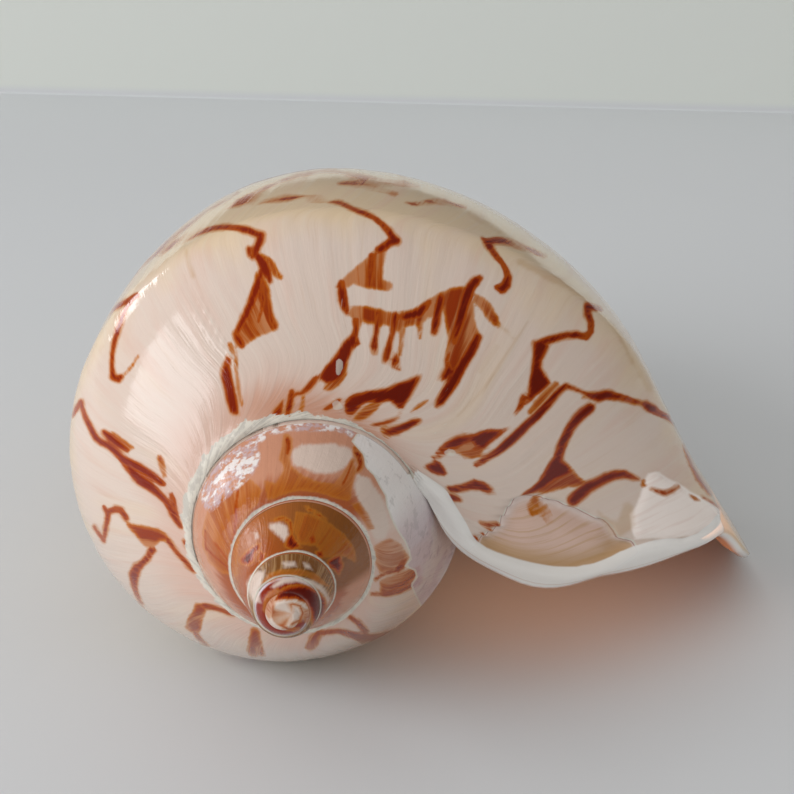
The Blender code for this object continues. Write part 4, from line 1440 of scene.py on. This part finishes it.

# %% [markdown]
# ## Enamel with painted glitter, and glaze
# Beside the suture the whorl before is worn rough, and the white and lilac specks on it are
# painted highlight, the glitter of the far window on that worn shell. Next to the lip a
# grey-lilac glaze lies over it, whitest at its middle, with a pale jagged rim. They lie on top
# of the brown marks and let a little of them through, so their shares stay below 1.

# %% Enamel with painted glitter, and glaze
# The worn patch by the suture: white and lilac specks painted as highlight, the far window's glitter.
enamel_and_glitter = band(glossy.held("enamel_and_glitter") + ragged, -1.0, 3.0) * in_view
painted_glints = band(0.6 * grain + 0.4 * speck, 0.50, 0.58)
glazed = glossy.held("glaze") + 0.5 * ragged
glaze = band(glazed, -0.3, 0.8) * in_view
whitest = band(ruffle(turn, (0.1, cloud)), -1.15, -1.09) * band(turn, -0.92, -1.00)
overlaid = layers(
    patterned,
    # Painted highlight: lilac and white specks for the far window's glitter on the worn patch.
    (enamel_and_glitter * band(speck, 0.35, 0.6) * 0.7, LILAC),
    (enamel_and_glitter * painted_glints * 0.75, RIM_WHITE),
    (glaze * 0.75, LILAC),
    (glaze * whitest * 0.85, RIM_WHITE),
    (glaze * band(ruffle(cloud, (0.5, grain)), 0.50, 0.62) * 0.4, CHALK),
    (glaze * band(ruffle(grain, (0.5, speck)), 0.44, 0.32) * 0.25, ENAMEL_GREY),
    (strip(glazed, -1.2, -0.2, 0.6, 1.6) * in_view * 0.8, CHALK),
)
print("enamel and glaze laid")

# %% [markdown]
# ## Chalk, threads and the lip
# The ridge at the suture is dull chalk, and beside it a grey line is painted shade in the crease
# where the next whorl lies on the one before. Old scars are pale threads. The rolled lip is
# nearly white, and the hollow behind it glows peach. The chalk's share is used again for the
# gloss, because chalk is the one part of the shell that is dull.

# %% Chalk, threads and the lip
crumbled = ruffle(0.0, (1.6, grain), (0.8, broad_streak), (0.8, speck))
own_edge = by_suture + chalk_wide * crumbled
newer = band(own_edge - chalk_wide, 0.20, -0.15)
chalk = newer * band(inner_depth, 0.9, 0.2) * band(turn, -4.2, -3.4)
# A grey line painted as shade in the crease just before each next suture.
crease_shade = band(to_next - 0.16 * chalk_wide, 0.15, 0.0) * band(turn, -4.9, -4.6)
threads = band(glossy.held("chalk") + 0.8 * ragged, -0.4, 0.6) * in_view
rolled = band(glossy.held("lip_roll"), -0.5, 1.0) * in_view
coloured = layers(
    overlaid,
    (chalk * 0.9, CHALK),
    (chalk * band(ruffle(broad_streak, (0.6, speck)), 0.52, 0.36) * 0.3, ENAMEL_GREY),
    # Painted shade in the suture's crease.
    (crease_shade * 0.7, ENAMEL_GREY),
    (threads * 0.5, CHALK),
    (rolled * 0.9, RIM_WHITE),
    (band(inner_depth, 0.1, 0.7), RIM_WHITE),
    (band(inner_depth, 0.9, 2.4), PEACH),
)
print("chalk, threads and lip laid")

# %% [markdown]
# ## Gloss
# The shell is smooth and polished nearly all over, with only a trace of the growth lines and a
# fine orange peel on the worn spire. A bump from the same streaks and specks gives them. The
# chalk is dull. The values that are the same everywhere are set on the shader itself.

# %% Bump, roughness and gloss
GLOSS = {
    "IOR": 1.53,
    "Specular IOR Level": 0.42,
    "Coat Weight": 0.1,
    "Coat Roughness": 0.05,
}
BUMP = {"Strength": 0.4, "Distance": 0.0004}
POLISHED = 0.09
STREAK_DULLNESS = 0.08
CHALK_DULLNESS = 0.45

height = 0.30 * fine_streak + 0.70 * broad_streak + (0.06 + 0.5 * on_spire) * speck
bumped = glossy.add("ShaderNodeBump", inputs={**BUMP, "Height": height})
dulled = STREAK_DULLNESS * band(broad_streak, 0.35, 0.75)
roughness = POLISHED + dulled + CHALK_DULLNESS * chalk
glossy.give(Base_Color=coloured, Roughness=roughness, Normal=bumped)
for name, value in GLOSS.items():
    glossy.shader.inputs[name].default_value = value
skin.materials.append(glossy.owner)
print("nodes in the shell's finish:", len(glossy.tree.nodes))

# %% [markdown]
# ## Table and wall
# The shell lies on a pale grey table in front of a pale wall. They are one sheet with a tight
# bend, drawn from the wall's foot as it runs through the picture. The wall is kept low: it
# only has to fill the top of the picture, and stays out of the way of the other views.

# %% Table and wall
WALL_FOOT_LEFT = (0, 93)
WALL_FOOT_RIGHT = (794, 113)
STAGE_HALF_WIDTH = 3.0
STAGE_NEAR = 3.0
WALL_HEIGHT = 0.045
COVE_RADIUS = 0.0005
COVE_STEPS = 8
TABLE_PAINT = paint("D0D3D4")
WALL_PAINT = paint("D8DCD6")
PAINTS_MEET = (0.0005, 0.003)
STAGE_ROUGHNESS = 0.7


def floor_point(pixel):
    """The point of the table that a pixel of the picture shows."""
    half = PICTURE_SIDE / 2
    ray = (
        ahead_of_lens
        + picture_right * ((pixel[0] - half) / FOCAL_PIXELS)
        + picture_up * ((half - pixel[1]) / FOCAL_PIXELS)
    )
    start = Vector(CAMERA_PLACE)
    return start - ray * (start.z / ray.z)


foot_left = floor_point(WALL_FOOT_LEFT)
foot_right = floor_point(WALL_FOOT_RIGHT)
foot_middle = (foot_left + foot_right) / 2
along_wall = (foot_right - foot_left).normalized()
to_wall = Vector((-along_wall.y, along_wall.x, 0.0))
section = [(-STAGE_NEAR, 0.0)]
for step in range(COVE_STEPS + 1):
    angle = math.pi / 2 * step / COVE_STEPS
    section.append((COVE_RADIUS * (math.sin(angle) - 1), COVE_RADIUS * (1 - math.cos(angle))))
section.append((0.0, WALL_HEIGHT))
stage_points = []
for back, up in section:
    for side in (-STAGE_HALF_WIDTH, STAGE_HALF_WIDTH):
        stage_points.append(foot_middle + along_wall * side + to_wall * back + Vector((0, 0, up)))
stage_faces = [(2 * n, 2 * n + 1, 2 * n + 3, 2 * n + 2) for n in range(len(section) - 1)]
stage_mesh = bpy.data.meshes.new("table_and_wall")
stage_mesh.from_pydata(stage_points, [], stage_faces)
stage_mesh.shade_smooth()
stage = bpy.data.objects.new("table_and_wall", stage_mesh)
bpy.context.scene.collection.objects.link(stage)
plain = Finish(bpy.data.materials.new("plain_pale"))
height_up = plain.part_of(plain.add("ShaderNodeTexCoord", output="Object"), 2)
stage_paint = plain.blend(plain.band(height_up, *PAINTS_MEET), TABLE_PAINT, WALL_PAINT)
plain.give(Base_Color=stage_paint, Roughness=STAGE_ROUGHNESS)
stage_mesh.materials.append(plain.owner)
print("wall's foot at", [round(v, 3) for v in foot_middle])

# %% [markdown]
# ## Windows and the glow under the shell
# One big soft window to the left gives the silky streak on the body whorl, and a smaller one
# behind lights its far edge. In the picture the shadow by the lip is warm, because light comes
# through the thin pink wall. The wall lets no light through here, so a weak warm lamp under the
# lip, close over the table, stands for that light.

# %% Windows and glow
LIGHT_AIM = Vector((-0.02, -0.02, 0.04))
WINDOWS = {
    "window": ((-1.0, -0.47, 0.57), (0.90, 0.70), 7.8, (0.98, 0.97, 1.0)),
    "far_window": ((-0.84, 0.76, 0.27), (0.32, 0.24), 1.2, (0.95, 0.97, 1.0)),
}
GLOW_PIXEL = (515, 612)
GLOW_HEIGHT = 0.020
GLOW_SIZE = (0.08, 0.03)
GLOW_POWER = 0.0034
GLOW_COLOUR = (1.0, 0.48, 0.25)


def hang_light(name, shape, spot, size, power, colour):
    """A soft lamp at a spot, looking straight down until it is turned."""
    light = bpy.data.lights.new(name, "AREA")
    light.shape = shape
    light.size, light.size_y = size
    light.energy = power
    light.color = colour
    lamp = bpy.data.objects.new(name, light)
    lamp.location = spot
    bpy.context.scene.collection.objects.link(lamp)
    return lamp


for name, (spot, size, power, colour) in WINDOWS.items():
    lamp = hang_light(name, "RECTANGLE", spot, size, power, colour)
    lamp.rotation_euler = (LIGHT_AIM - Vector(spot)).to_track_quat("-Z", "Y").to_euler()
glow_spot = floor_point(GLOW_PIXEL) + Vector((0.0, 0.0, GLOW_HEIGHT))
hang_light("glow_through_shell", "ELLIPSE", glow_spot, GLOW_SIZE, GLOW_POWER, GLOW_COLOUR)
print("lights:", ", ".join(WINDOWS), "and the glow")

# %% [markdown]
# ## The room
# The room fills the shadows. It is brighter on the window's side, and the gloss sees less of it
# than the table does: a real room has dark corners that a polished shell mirrors, and an even
# room would lay a grey veil over the brown marks.

# %% Room light
ROOM_LIGHT_LEFT = 0.80
ROOM_LIGHT_RIGHT = 0.44
ROOM_MIRRORED = 0.15
ROOM_COLOUR = (1.0, 0.99, 0.985, 1.0)

room = Finish(bpy.data.worlds.new("room"))
rightwards = room.part_of(room.add("ShaderNodeTexCoord", output="Generated"), 0)
from_side = room.spread(rightwards, -1.0, 1.0, ROOM_LIGHT_LEFT, ROOM_LIGHT_RIGHT)
mirrored = room.add("ShaderNodeLightPath", output="Is Glossy Ray")
dimmed = room.spread(mirrored, 0.0, 1.0, 1.0, ROOM_MIRRORED)
room.give(Color=ROOM_COLOUR, Strength=from_side * dimmed)
bpy.context.scene.world = room.owner
bpy.context.scene.view_settings.view_transform = "Standard"
print("room light from", ROOM_LIGHT_LEFT, "to", ROOM_LIGHT_RIGHT)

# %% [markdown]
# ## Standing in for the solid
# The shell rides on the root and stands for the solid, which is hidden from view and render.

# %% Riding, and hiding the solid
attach(shell, "root")
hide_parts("shell")
